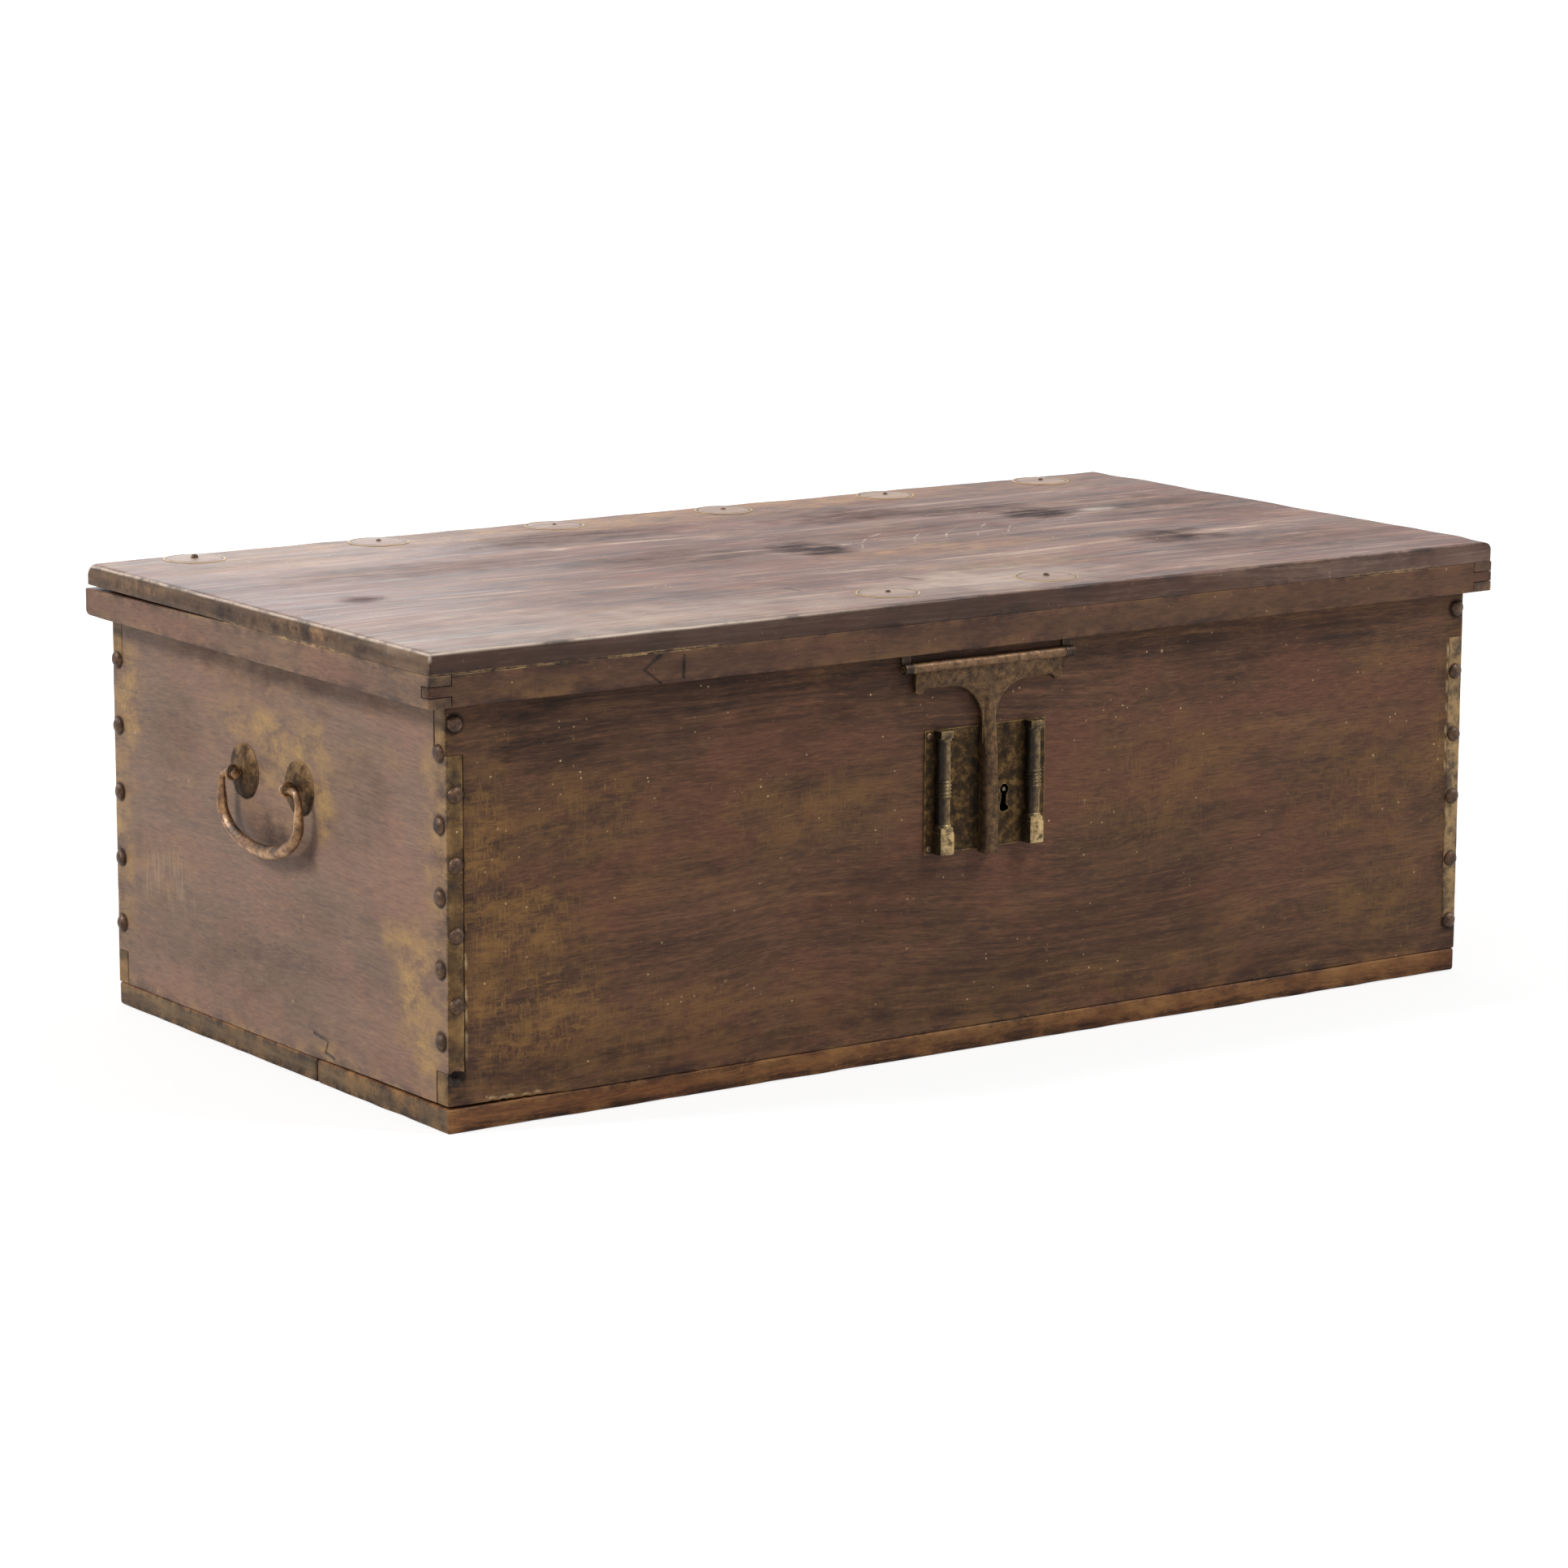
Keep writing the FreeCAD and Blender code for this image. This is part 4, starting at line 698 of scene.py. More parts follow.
def metal(name, tones, bright, roughness, metallic, size=0.012, gloss=0.5, painted_shading_slope=0.0, painted_side_light=0.0, painted_shadows=(),
          polish=None):
    """Old handled metal, patchy, pitted and brighter along its edges.

    The slope is painted shading: what looks up is lighter, or what looks down if it is below 0. The side
    light is a painted highlight on what looks right and painted shade on what looks left. The shadows are
    spans of X darkened as painted cast shadows, and the metal is rubbed bright below the height polish.
    """
    s = Shader(name)
    facing = s.split(s.facing)
    spot = s.split(s.place)
    patch = s.noise(s.place, size, 7.0, 0.68, 1.0)
    pits = s.noise(s.place, 0.0016, 3.0, 0.6, 2.0)
    # Painted shading: the colour shifts with how far the surface looks up
    s.colour = s.ramp(patch + facing[Z] * painted_shading_slope, tones, evenly(0.32, 0.68, len(tones)))
    s.paint(s.remap(pits, 0.52, 0.7, 0.0, 0.5), tones[0])
    bevel = s.node("Bevel", named={"Radius": RUBBED_EDGE}, samples=4)
    turn = s.vector("DOT_PRODUCT", bevel.outputs[0], s.node("NewGeometry").outputs["Normal"])
    s.paint(s.remap(turn, 0.99, 0.85, 0.0, 0.8) * s.remap(patch, 0.3, 0.55), bright)
    if polish:
        low = s.remap(spot[Z], polish + 0.001, polish, 0.0, 0.6)
        s.paint(low * s.remap(patch, 0.34, 0.56), bright)
    # Painted highlight on what looks right and painted shade on what looks left
    if painted_side_light:
        lit_side = s.remap(facing[X], 0.35, 0.8, 0.0, painted_side_light)
        s.paint(lit_side * s.remap(patch, 0.35, 0.6, 0.3, 1.0), bright)
        s.paint(s.remap(facing[X], 0.0, -0.6, 0.0, painted_side_light), PAINTED_SIDE_SHADE)
    # Painted cast shadows: dark spans of X beside raised parts
    for start, end in painted_shadows:
        span = s.remap(spot[X], start, start + 0.006) * s.remap(spot[X], end + 0.006, end - 0.004)
        s.paint(span * s.remap(patch, 0.36, 0.6, 0.85, 0.5), PAINTED_SHADOW_TONE)
    shine = s.remap(patch, 0.3, 0.7, roughness + 0.12, roughness - 0.1)
    return s.finish(shine, patch + pits * 0.3, 0.0006, gloss, metallic)


COLUMN_X = (LOCK_X - 0.051, LOCK_X + 0.051)
COLUMN_POLISH = 0.027
nail_iron = metal("nail_iron", [(30, 20, 14), (74, 50, 33), (112, 80, 53)], (186, 148, 104), 0.45, 0.4, 0.006)
hinge_iron = metal("hinge_iron", [(38, 28, 22), (56, 42, 33), (74, 56, 43)], (140, 116, 94), 0.5, 0.7, 0.02)
# The dark spans left of each column and of the stem are painted cast shadows
lock_brass = metal(
    "lock_brass", [(13, 8, 3), (56, 39, 18), (114, 86, 46)], (176, 146, 98), 0.55, 0.3, 0.009, gloss=0.2,
    painted_shadows=[(COLUMN_X[0] - 0.013, COLUMN_X[0]), (LOCK_X - 0.019, LOCK_X), (COLUMN_X[1] - 0.012, COLUMN_X[1])])
# The hasp gets a painted highlight on its right sides and painted shade on its left sides
hasp_brass = metal(
    "hasp_brass", [(40, 28, 17), (86, 63, 40), (122, 92, 58)], (204, 166, 112), 0.48, 0.35, 0.006, gloss=0.25,
    painted_side_light=0.5)
knuckle_brass = metal(
    "knuckle_brass", [(62, 45, 30), (112, 84, 58), (140, 108, 76)], (190, 158, 114), 0.45, 0.4, 0.006,
    gloss=0.3)
# The columns get a painted highlight on their right sides and painted shade on their left sides
column_brass = metal(
    "column_brass", [(34, 25, 15), (94, 75, 48), (142, 117, 78)], (218, 188, 132), 0.4, 0.4, 0.007,
    gloss=0.35, painted_side_light=0.9, polish=plate_low.z + COLUMN_POLISH)
lock_iron = metal("lock_iron", [(44, 38, 34), (82, 72, 64), (102, 88, 76)], (150, 138, 124), 0.45, 0.8)
# Painted shading: the roses are lighter where they look up and the bails lighter where they look down
rose_iron = metal(
    "rose_iron", [(25, 17, 10), (70, 50, 30), (128, 98, 64)], (176, 144, 98), 0.6, 0.2, gloss=0.15,
    painted_shading_slope=0.28)
handle_iron = metal(
    "handle_iron", [(38, 25, 15), (134, 95, 60), (206, 164, 115)], (236, 208, 168), 0.34, 0.25, 0.016,
    painted_shading_slope=-0.1)

# Case

SEAM = 0.0005
HORN_GAP = 0.0006
LOCK_GAP = 0.0003
BASE_GAP = 0.0026
BASE_GAP_REACH = 0.004
BASE_GAP_END_X = -0.455
BASE_GAP_END_Y = -0.073
LOST_NAIL = (-0.566, -half_depth, 0.051)
LOST_NAIL_PIT = [(LOST_NAIL, 0.0075, (0, 0.007, 0)), ((-0.561, -half_depth, 0.046), 0.004, (0, 0.003, 0))]
CHIP_SPOTS = ((-0.531, 0.0262), (-0.519, 0.0248), (-0.512, 0.0258), (-0.496, 0.0246), (-0.484, 0.0256))
notches = both_ends((half_length - END - SEAM, -FAR, TONGUE_LOW - SEAM), (FAR, FAR, TONGUE_HIGH + SEAM))
case_low, case_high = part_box("lock_case")
lock_cuts = [((case_low.x - LOCK_GAP, -FAR, case_low.z - LOCK_GAP),
              (case_high.x + LOCK_GAP, FAR, case_high.z + LOCK_GAP)),
             ((plate_low.x, -FAR, plate_low.z), (plate_high.x, plate_high.y, plate_high.z))]
horns = []
for side in (-1, 1):
    start, end = sorted((side * (half_depth - WALL - HORN_GAP), side * FAR))
    horns.append(((-FAR, start, -FAR), (FAR, end, TONGUE_LOW)))
    horns.append(((-FAR, start, TONGUE_HIGH), (FAR, end, FAR)))
fine_corner = ([(-half_length, -0.552, 0.0014), (-0.545, -0.485, 0.0025), (0.552, 0.5569, 0.0014)], (),
               [(front_low.z, 0.036, 0.0017), (0.04, 0.062, 0.0014)])


def lifted(axis, start, power):
    """A shape whose lower edge lifts off the bottom board, from a start on an axis to the low end."""
    def shape(points, low, high, wear):
        points = worn_edges(points, low, high, wear)
        share = np.clip((start - points[:, axis]) / (start - low[axis]), 0, 1)
        near = np.exp(-(points[:, Z] - low[Z]) / BASE_GAP_REACH)
        points[:, Z] += BASE_GAP * share ** power * near
        return points
    return shape


on_front = partial(marks_on, Y, -half_depth, 0.02)
on_front_skin = partial(marks_on, Y, -half_depth, 0.01)
on_left = partial(marks_on, X, -half_length, 0.012)
front_marks = {
    "worn": on_front(
        (-0.535, 0.22, 0.045, 0.15, 0.7), (-0.5, 0.175, 0.09, 0.06, 0.7), (-0.5, 0.09, 0.13, 0.075, 0.75),
        (-0.43, 0.265, 0.11, 0.05, 0.45), (-0.36, 0.07, 0.22, 0.05, 0.4), (0.1, 0.05, 0.4, 0.03, 0.3),
        (0.45, 0.2, 0.12, 0.1, 0.4), (0.2, 0.22, 0.14, 0.09, 0.35), (0.48, 0.09, 0.1, 0.07, 0.4),
        (-0.2, 0.24, 0.16, 0.06, 0.35), (0.553, 0.2, 0.02, 0.2, 0.5)),
    "pale_marks_and_sheen": on_front_skin(
        *[(x, z, 0.005, 0.0025, 0.6) for x, z in CHIP_SPOTS],
        *[(0.557, z, 0.0022, 0.006, 0.8) for z in (0.205, 0.225, 0.24, 0.262, 0.283, 0.301, 0.318)],
        *[(-0.5565, z, 0.002, 0.006, 0.6) for z in (0.07, 0.083, 0.104, 0.122, 0.15)]),
    # Stains, and painted shadow: the bands along the top under the lid's rim
    "stain_and_shadow": on_front(
        (-0.2, 0.365, 0.45, 0.06, 0.8), (0.3, 0.37, 0.35, 0.05, 0.6), (-0.45, 0.35, 0.14, 0.06, 0.8),
        (-0.1, 0.15, 0.14, 0.05, 0.45), (0.0, 0.06, 0.35, 0.05, 0.5), (-0.4, 0.04, 0.2, 0.03, 0.5),
        (0.15, 0.1, 0.2, 0.05, 0.4), (0.35, 0.03, 0.25, 0.03, 0.5), (-0.003, 0.3, 0.1, 0.06, 0.5),
        (LOST_NAIL[X], LOST_NAIL[Z], 0.009, 0.009, 1.0))
    + on_front_skin((-0.575, 0.2, 0.03, 0.4, 0.8), (0.575, 0.2, 0.03, 0.4, 0.8)),
}
left_marks = {
    "worn": on_left(
        (0.272, 0.3, 0.035, 0.075, 1.0), (0.285, 0.15, 0.035, 0.12, 0.7), (0.06, 0.308, 0.055, 0.022, 0.9),
        (0.0, 0.304, 0.065, 0.034, 1.0), (-0.065, 0.302, 0.05, 0.034, 1.0), (-0.092, 0.265, 0.024, 0.05, 1.0),
        (0.0, 0.275, 0.045, 0.03, 0.8), (0.0, 0.29, 0.16, 0.09, 0.35), (-0.25, 0.12, 0.05, 0.075, 1.0),
        (-0.265, 0.07, 0.035, 0.05, 1.0), (-0.225, 0.155, 0.04, 0.03, 0.9), (-0.28, 0.25, 0.03, 0.13, 0.6),
        (-0.1, 0.03, 0.06, 0.015, 0.7), (0.2, 0.14, 0.08, 0.045, 0.2))
    + on_front_skin((-0.56, 0.12, 0.009, 0.09, 0.3)),
    # Stains, and painted shadow: the band under the lid's rim, and the shadow in and beside the handle's bow
    "stain_and_shadow": on_left(
        (0.0, 0.37, 0.3, 0.04, 0.6), (0.18, 0.27, 0.06, 0.07, 0.35), (-0.17, 0.28, 0.07, 0.06, 0.35),
        (0.05, 0.08, 0.15, 0.05, 0.3), (0.0, 0.217, 0.055, 0.03, 1.0), (-0.06, 0.205, 0.03, 0.022, 0.8),
        (-0.29, 0.3, 0.012, 0.2, 0.5)),
    "rasp": on_left((0.2, 0.137, 0.09, 0.06, 1.0)),
}
right_marks = {"worn": on_front((0.566, 0.2, 0.02, 0.25, 1.0)),
               "pale_marks_and_sheen": on_front((0.566, 0.2, 0.02, 0.25, 0.2))}
base_marks = {
    "worn": on_front((0.1, 0.014, 0.5, 0.012, 0.6)) + on_left((-0.2, 0.016, 0.12, 0.01, 0.6)),
    # Painted shade: dark bands along the foot of the boards at the floor, and along the seam under the front
    # board
    "stain_and_shadow": marks_on(Y, -half_depth, 0.03, (0.0, 0.0, 2.5, 0.012, 1.0))
    + on_front((-0.3, 0.022, 0.25, 0.006, 0.8)) + on_left((0.0, 0.0, 0.4, 0.009, 0.9)),
}
board("case_front", "front_board", front_wood, "case", notches + lock_cuts, fine=fine_corner,
      shape=lifted(X, BASE_GAP_END_X, 0.6), marks=front_marks,
      pits=LOST_NAIL_PIT + [((x, -half_depth, z), 0.003, (0, 0.0015, 0.0005)) for x, z in CHIP_SPOTS])
board("case_back", "back_board", front_wood, "case", notches, step=0.012)
board("case_left", "left_end_board", end_wood, "case", horns, marks=left_marks,
      shape=lifted(Y, BASE_GAP_END_Y, 0.5), pits=LOST_NAIL_PIT,
      fine=((), [(-half_depth, -0.278, 0.0025)], [(0.05, 0.062, 0.0014)]))
board("case_right", "right_end_board", end_wood, "case", horns, step=0.012, marks=right_marks)
board("base_front", "bottom_board_front", base_wood, "case", edge=0.003, marks=base_marks)
board("base_rear", "bottom_board_rear", base_wood, "case", edge=0.003, marks=base_marks)

# Lid

LID_END_ROUND = 0.0045
LID_FRONT_ROUND = 0.003
LID_REAR_ROUND = 0.006
LID_LEAST_ROUND = 0.001
LID_REAR_SHRINK = 0.004
LID_END_SHRINK = 0.0012
FINGERS = 3
FINGER_GAP = 0.0004
LEAF_FRONT = -0.303
LEAF_BARE = 0.02
RAIL_GAP = 0.0036
RAIL_GAP_START = 0.03
RAIL_REAR_ROUND = 0.010


def rising(values, start, run):
    """0 up to a start, rising to 1 over a run. A run below 0 rises the other way."""
    return np.clip((values - start) / run, 0, 1)


def lid_shape(points, low, high, wear):
    """Rounded ends, eased long edges and a wavy worn rim; the underside stays flat."""
    points = points.copy()
    outer = rising(np.abs(points[:, X]), 0.5, 0.099)
    points[:, Y] -= LID_REAR_SHRINK * outer * rising(points[:, Y], 0.2, 0.1)
    points[:, X] *= 1 - LID_END_SHRINK / high[X]
    high = high - np.array([LID_END_SHRINK, 0, 0])
    below = low + np.array([LID_END_SHRINK, 0, -FAR])
    waves = 1 + 0.7 * rough(points, 0.045, 8.0)
    corner = 1 + 0.9 * rising(points[:, Y], 0.22, 0.08)
    corner += 3.0 * rising(points[:, X], 0.5, 0.08) * rising(points[:, Y], -0.27, -0.04)
    points = rounded(points, below, high, LID_END_ROUND * waves * corner, (X, Z))
    long_edge = LID_FRONT_ROUND + (LID_REAR_ROUND - LID_FRONT_ROUND) * rising(points[:, Y], -0.1, 0.2)
    points = rounded(points, below, high, long_edge * waves, (Y, Z))
    return rounded(points, below, high, np.maximum(wear, LID_LEAST_ROUND), (X, Y))


def end_rail_shape(points, low, high, wear):
    """The rear end is rounded below, and the top sinks away from the lid towards the rear."""
    ahead = low - np.array([0, FAR, 0])
    above = high + np.array([0, 0, FAR])
    points = rounded(points, ahead, above, RAIL_REAR_ROUND, (Y, Z))
    points = worn_edges(points, low, high, wear)
    height = (points[:, Z] - low[Z]) / (high[Z] - low[Z])
    back = rising(points[:, Y], RAIL_GAP_START, high[Y] - RAIL_GAP_START)
    points[:, Z] -= RAIL_GAP * height * back ** 0.6
    return points


flanges = []
for flange in ("hinge_1_lid_leaf", "hinge_2_lid_leaf", "hinge_3_lid_leaf", "hasp_lid_leaf"):
    low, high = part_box(flange)
    flanges.append(((low.x, low.y, -FAR), tuple(high)))
on_lid = partial(marks_on, Z, 0.42, 0.05)
on_lid_skin = partial(marks_on, Z, 0.43, 0.02)
on_lid_end = partial(marks_on, X, lid_low.x, 0.006)
on_rim = partial(marks_on, Y, rim_low.y, 0.02)
glue_marks = on_rim(
    (-0.36, GLUE_LINE, 0.075, 0.05, 1.0), (-0.52, GLUE_LINE, 0.09, 0.05, 0.7),
    (0.47, GLUE_LINE, 0.06, 0.05, 0.9))
glue_marks += marks_on(
    X, lid_low.x, 0.01, (-0.1, GLUE_LINE, 0.09, 0.05, 0.9), (0.03, GLUE_LINE, 0.03, 0.05, 0.6))
lid_marks = {
    "stain_and_shadow": on_lid(
        (0.02, 0.004, 0.05, 0.06, 1.4), (0.353, 0.092, 0.06, 0.05, 1.3), (0.3, 0.145, 0.1, 0.04, 0.9),
        (0.365, -0.114, 0.06, 0.05, 1.3), (-0.125, 0.2, 0.16, 0.05, 0.7), (-0.116, 0.03, 0.14, 0.06, 0.6),
        (-0.493, -0.022, 0.03, 0.025, 0.7), (0.18, 0.17, 0.12, 0.05, 0.8), (0.5, 0.05, 0.14, 0.14, 0.5),
        (0.15, 0.06, 0.2, 0.05, 0.4), (0.45, -0.2, 0.15, 0.08, 0.4), (-0.35, 0.1, 0.2, 0.05, 0.4))
    + on_lid_end((0.0, 0.412, 0.4, 0.008, 0.7)),
    "worn": on_lid(
        (0.0, 0.27, 0.7, 0.06, 0.8), (0.12, -0.06, 0.16, 0.05, 0.7), (0.1, -0.16, 0.16, 0.05, 0.5),
        (-0.45, 0.2, 0.15, 0.06, 0.5))
    + on_lid_end((-0.1, 0.415, 0.08, 0.008, 0.8), (0.2, 0.413, 0.05, 0.008, 0.6)),
    # Pale spots, and a painted sheen over the front part of the lid's top
    "pale_marks_and_sheen": on_lid(
        (-0.183, 0.138, 0.016, 0.007, 0.4), (0.0635, 0.0137, 0.008, 0.007, 0.5),
        (0.421, 0.075, 0.03, 0.012, 0.5))
    + on_lid_skin((-0.35, -0.26, 0.4, 0.1, 0.25), (0.04, -0.24, 0.18, 0.08, 0.35))
    + marks_on(Y, rim_low.y, 0.004, (0.5, 0.415, 0.3, 0.03, 0.12)),
    "glue": glue_marks,
}
rim_marks = {
    "glue": glue_marks,
    "stain_and_shadow": on_rim((-0.36, 0.388, 0.025, 0.016, 0.5), (-0.599, 0.39, 0.03, 0.02, 0.7)),
    "worn": on_rim((-0.48, 0.385, 0.09, 0.012, 0.7), (0.1, 0.385, 0.3, 0.012, 0.3)),
}
finger_z = evenly(rim_low.z, rim_high.z, FINGERS + 1)
rail_end = -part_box("lid_left_rail")[1].x


def fingers(first):
    """Boxes at both front corners of the rim where every second finger belongs to the other rail."""
    boxes = []
    for i in range(first, FINGERS, 2):
        boxes += both_ends((rail_end - FINGER_GAP, -FAR, finger_z[i] - FINGER_GAP),
                           (FAR, rim_high.y + FINGER_GAP, finger_z[i + 1] + FINGER_GAP))
    return boxes


leaf_low, leaf_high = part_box("hasp_lid_leaf")
leaf_housing = [((leaf_low.x + LEAF_BARE, LEAF_FRONT, -FAR), (leaf_high.x - LEAF_BARE, FAR, FAR))]
board("lid_top", "lid_board", lid_wood, "lid", flanges, edge=0.002, lines=LID_EDGE_LINES,
      shape=lid_shape, marks=lid_marks)
board("rim_front", "lid_front_rail", rim_wood, "lid", fingers(0) + leaf_housing, edge=0.0014,
      marks=rim_marks)
for side in ("left", "right"):
    board("rim_" + side, "lid_%s_rail" % side, rim_end_wood, "lid", fingers(1), edge=0.0014,
          shape=end_rail_shape, fine=((), [(0.29, FAR, 0.002)], ()), marks={"glue": glue_marks})

PATCHES = ("hinge_1_patches", "hinge_2_patches", "hinge_3_patches", "hasp_patches")
PATCH_SHARES = (0.0, 0.15, 0.35, 0.55, 0.72, 0.83, 0.87, 0.9, 0.93, 0.96, 0.985, 1.0, 1.0)
PATCH_FIT = 0.96
PATCH_SIDES = 48


def patch_spots(node):
    """The radius of a pair of patches, and where their middles are."""
    low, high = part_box(node)
    radius = (high.y - low.y) / 2
    return radius, [Vector((x, low.y + radius, low.z)) for x in (low.x + radius, high.x - radius)]


def patch_pair(node):
    """Two round plugs with slightly uneven outlines, each with a groove round it."""
    radius, spots = patch_spots(node)
    profile = []
    for share in PATCH_SHARES:
        groove = math.exp(-((share - 0.88) / 0.02) ** 2)
        profile.append((share * radius * PATCH_FIT, 0.0007 * (1 - share ** 2) + 0.0004 - 0.0004 * groove))
    profile[-1] = (radius * PATCH_FIT, -0.0005)
    form = Form()
    for spot in spots:
        form.turned(profile, spot, (0, 0, 1), PATCH_SIDES, 0.045)
    piece = form.piece(node + "_worn", patch_wood, "lid", "patch_wood", [node])
    rims = [PATCH_SHARES[0]] + [share for share in PATCH_SHARES[1:] for _ in range(PATCH_SIDES)]
    add_values(piece.data, "rim", rims * len(spots))


for node in PATCHES:
    patch_pair(node)

# Nails

HEAD_PROFILE = ((0.0, 1.0), (0.3, 0.97), (0.55, 0.87), (0.75, 0.71), (0.9, 0.47), (1.0, 0.16), (1.0, -0.08))
LID_NAIL_RADIUS = 0.0036
LID_NAIL_HEIGHT = 0.004
LID_NAIL_LIFT = Vector((0, 0, 0.0006))


def head_profile(radius, height):
    """The domed head of a nail."""
    return [(share * radius, rise * height) for share, rise in HEAD_PROFILE]


def nail_group(node, direction, spots):
    """Hammered nail heads at their spots."""
    form = Form()
    profile = head_profile(NAIL_RADIUS * 1.03, NAIL_HEIGHT * 0.97)
    for spot in spots:
        tilt = Vector((noise.noise(40 * Vector(spot)), noise.noise(50 * Vector(spot)), 0)) * 0.2
        form.turned(profile, spot, Vector(direction) + tilt, 16, 0.1)
    form.piece(node + "_heads", nail_iron, "case", "nail_iron", [node], 60)


for node, side in (("front_corner_nails", -1), ("back_corner_nails", 1)):
    spots = [(x, side * half_depth, z) for x in (-nail_x, nail_x) for z in front_heights]
    # The lowest nail at the left of the front is lost
    if node == "front_corner_nails":
        spots.pop(0)
    nail_group(node, (0, side, 0), spots)
for node, side in (("left_end_nails", -1), ("right_end_nails", 1)):
    spots = [(side * half_length, y, z) for y in (-nail_y, nail_y) for z in end_heights]
    nail_group(node, (side, 0, 0), spots)

# Most of the lid's nails are worn down or clipped; their sizes run along the rear row and then the front pair
LID_NAIL_SHARES = (1.0, 0.6, 0.45, 0.55, 0.6, 0.6, 0.6, 0.7)
lid_spots = [spot + LID_NAIL_LIFT for node in PATCHES for spot in patch_spots(node)[1]]
form = Form()
for spot, size in zip(lid_spots, LID_NAIL_SHARES):
    profile = head_profile(LID_NAIL_RADIUS * size ** 0.5, LID_NAIL_HEIGHT * size)
    form.turned(profile, spot, (0.1, 0.05, 1), 14, 0.14)
form.piece("lid_hinge_nails_heads", nail_iron, "lid", "nail_iron", ["lid_hinge_nails"], 60)

# Hasp

hasp_low, hasp_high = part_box("hasp")
KNUCKLE = 0.005
KNUCKLE_BORE = 0.0026
KNUCKLE_LIP = 0.0044
hasp_axis_z = hasp_high.z - KNUCKLE
HASP_AXIS_Y = -half_depth - 0.0055
HASP_BACK = -half_depth - 0.002
YOKE_HALF = 0.0825
YOKE_DROP = 0.020
YOKE_THICK = 0.005
TIP_FALL = 0.0045
LOBE = 0.0045
SWEEP = 0.036
STEM_HALF = 0.0075
STEM_THICK = 0.0115


def hasp_outline():
    """Half of the yoke's outline, from the knuckle round the lobe and the curved shoulder to the stem."""
    yoke_z = hasp_axis_z - YOKE_DROP
    tip_z = yoke_z - 0.5 * TIP_FALL
    half = [(YOKE_HALF, hasp_axis_z), (YOKE_HALF, tip_z)]
    half += arc((YOKE_HALF - LOBE, tip_z), (LOBE, -0.5 * LOBE), 0, 180, 7)
    half.append((YOKE_HALF - 2.6 * LOBE, yoke_z + 0.0008))
    half += arc((STEM_HALF + SWEEP, yoke_z - SWEEP), (SWEEP, SWEEP), 90, 180, 13)
    half.append((STEM_HALF, yoke_z - SWEEP - 0.02))
    return half


def build_hasp():
    """Yoke and stem."""
    form = Form()
    half = hasp_outline()
    right = [Vector((LOCK_X + x, HASP_BACK, z)) for x, z in half]
    left = [Vector((LOCK_X - x, HASP_BACK, z)) for x, z in reversed(half)]
    form.pushed(right + left, Vector((0, -YOKE_THICK, 0)), 0.0012)
    foot = hasp_low.z
    top = hasp_axis_z - 0.55 * YOKE_DROP
    stations = [(top, 0.9, YOKE_THICK - 0.0006, 0.006), (top - 0.02, 0.9, YOKE_THICK + 0.0008, 0.0055),
                (top - 0.045, 0.9, STEM_THICK - 0.004, 0.004), (top - 0.075, 0.9, STEM_THICK - 0.0005, 0.002),
                (foot + 0.02, 0.95, STEM_THICK, 0.0016), (foot + 0.001, 1.08, STEM_THICK, 0.0016),
                (foot, 1.0, STEM_THICK - 0.001, 0.0016)]
    rings = []
    for z, width, thick, ease in stations:
        half_width = STEM_HALF * width
        flank = thick - min(ease, 0.0019)
        corners = [(-half_width, 0), (-half_width, flank), (ease - half_width, thick),
                   (half_width - ease, thick), (half_width, flank), (half_width, 0)]
        rings.append([Vector((LOCK_X + x, HASP_BACK - y, z)) for x, y in corners])
    form.lofted(rings)
    form.piece("hasp_worn", hasp_brass, "hasp", "lock_brass", ["hasp"], 50)


def build_knuckle():
    """The rolled upper edge of the hasp."""
    form = Form()
    length = hasp_high.x - hasp_low.x
    profile = [(KNUCKLE_BORE, 0.0), (KNUCKLE_LIP, 0.0), (KNUCKLE * 0.985, 0.001)]
    for share in evenly(0.02, 0.98, 24):
        radius = KNUCKLE * (0.965 + 0.02 * math.sin(9 * share))
        profile.append((radius, 0.001 + (length - 0.002) * share))
    profile += [(KNUCKLE * 0.985, length - 0.001), (KNUCKLE_LIP, length), (KNUCKLE_BORE, length)]
    form.turned(profile, (hasp_low.x, HASP_AXIS_Y, hasp_axis_z), (1, 0, 0), 28)
    form.piece("hasp_knuckle", knuckle_brass, "hasp", "lock_brass", [])


build_hasp()
build_knuckle()

# Lock plate and columns

PLATE_THICK = 0.0016
SLOT_GAP = 0.0008
SLOT_DROP = 0.002
KEYHOLE_X = LOCK_X + 0.022
KEYHOLE_RISE = 0.0515
KEYHOLE_RADIUS = 0.005
KEYHOLE_HOOK = [(-0.0036, -0.009), (-0.0046, -0.013), (-0.0054, -0.0165), (-0.0046, -0.0196),
                (-0.0015, -0.021), (0.002, -0.0208), (0.0052, -0.019), (0.0056, -0.0168), (0.0038, -0.0156),
                (0.0025, -0.014), (0.0028, -0.009)]
PLINTH_HALF = 0.00775
PLINTH_PROUD = 0.0122
PLINTH_STEP = 0.02
PLINTH_HEIGHT = 0.025
CAPITAL_HEIGHT = 0.007
COLUMN_RADIUS = 0.0064
COLUMN_RISE = 0.005
RING_PITCH = 0.0034
RING_PROUD = 0.0012
RING_SOFT = 0.0009


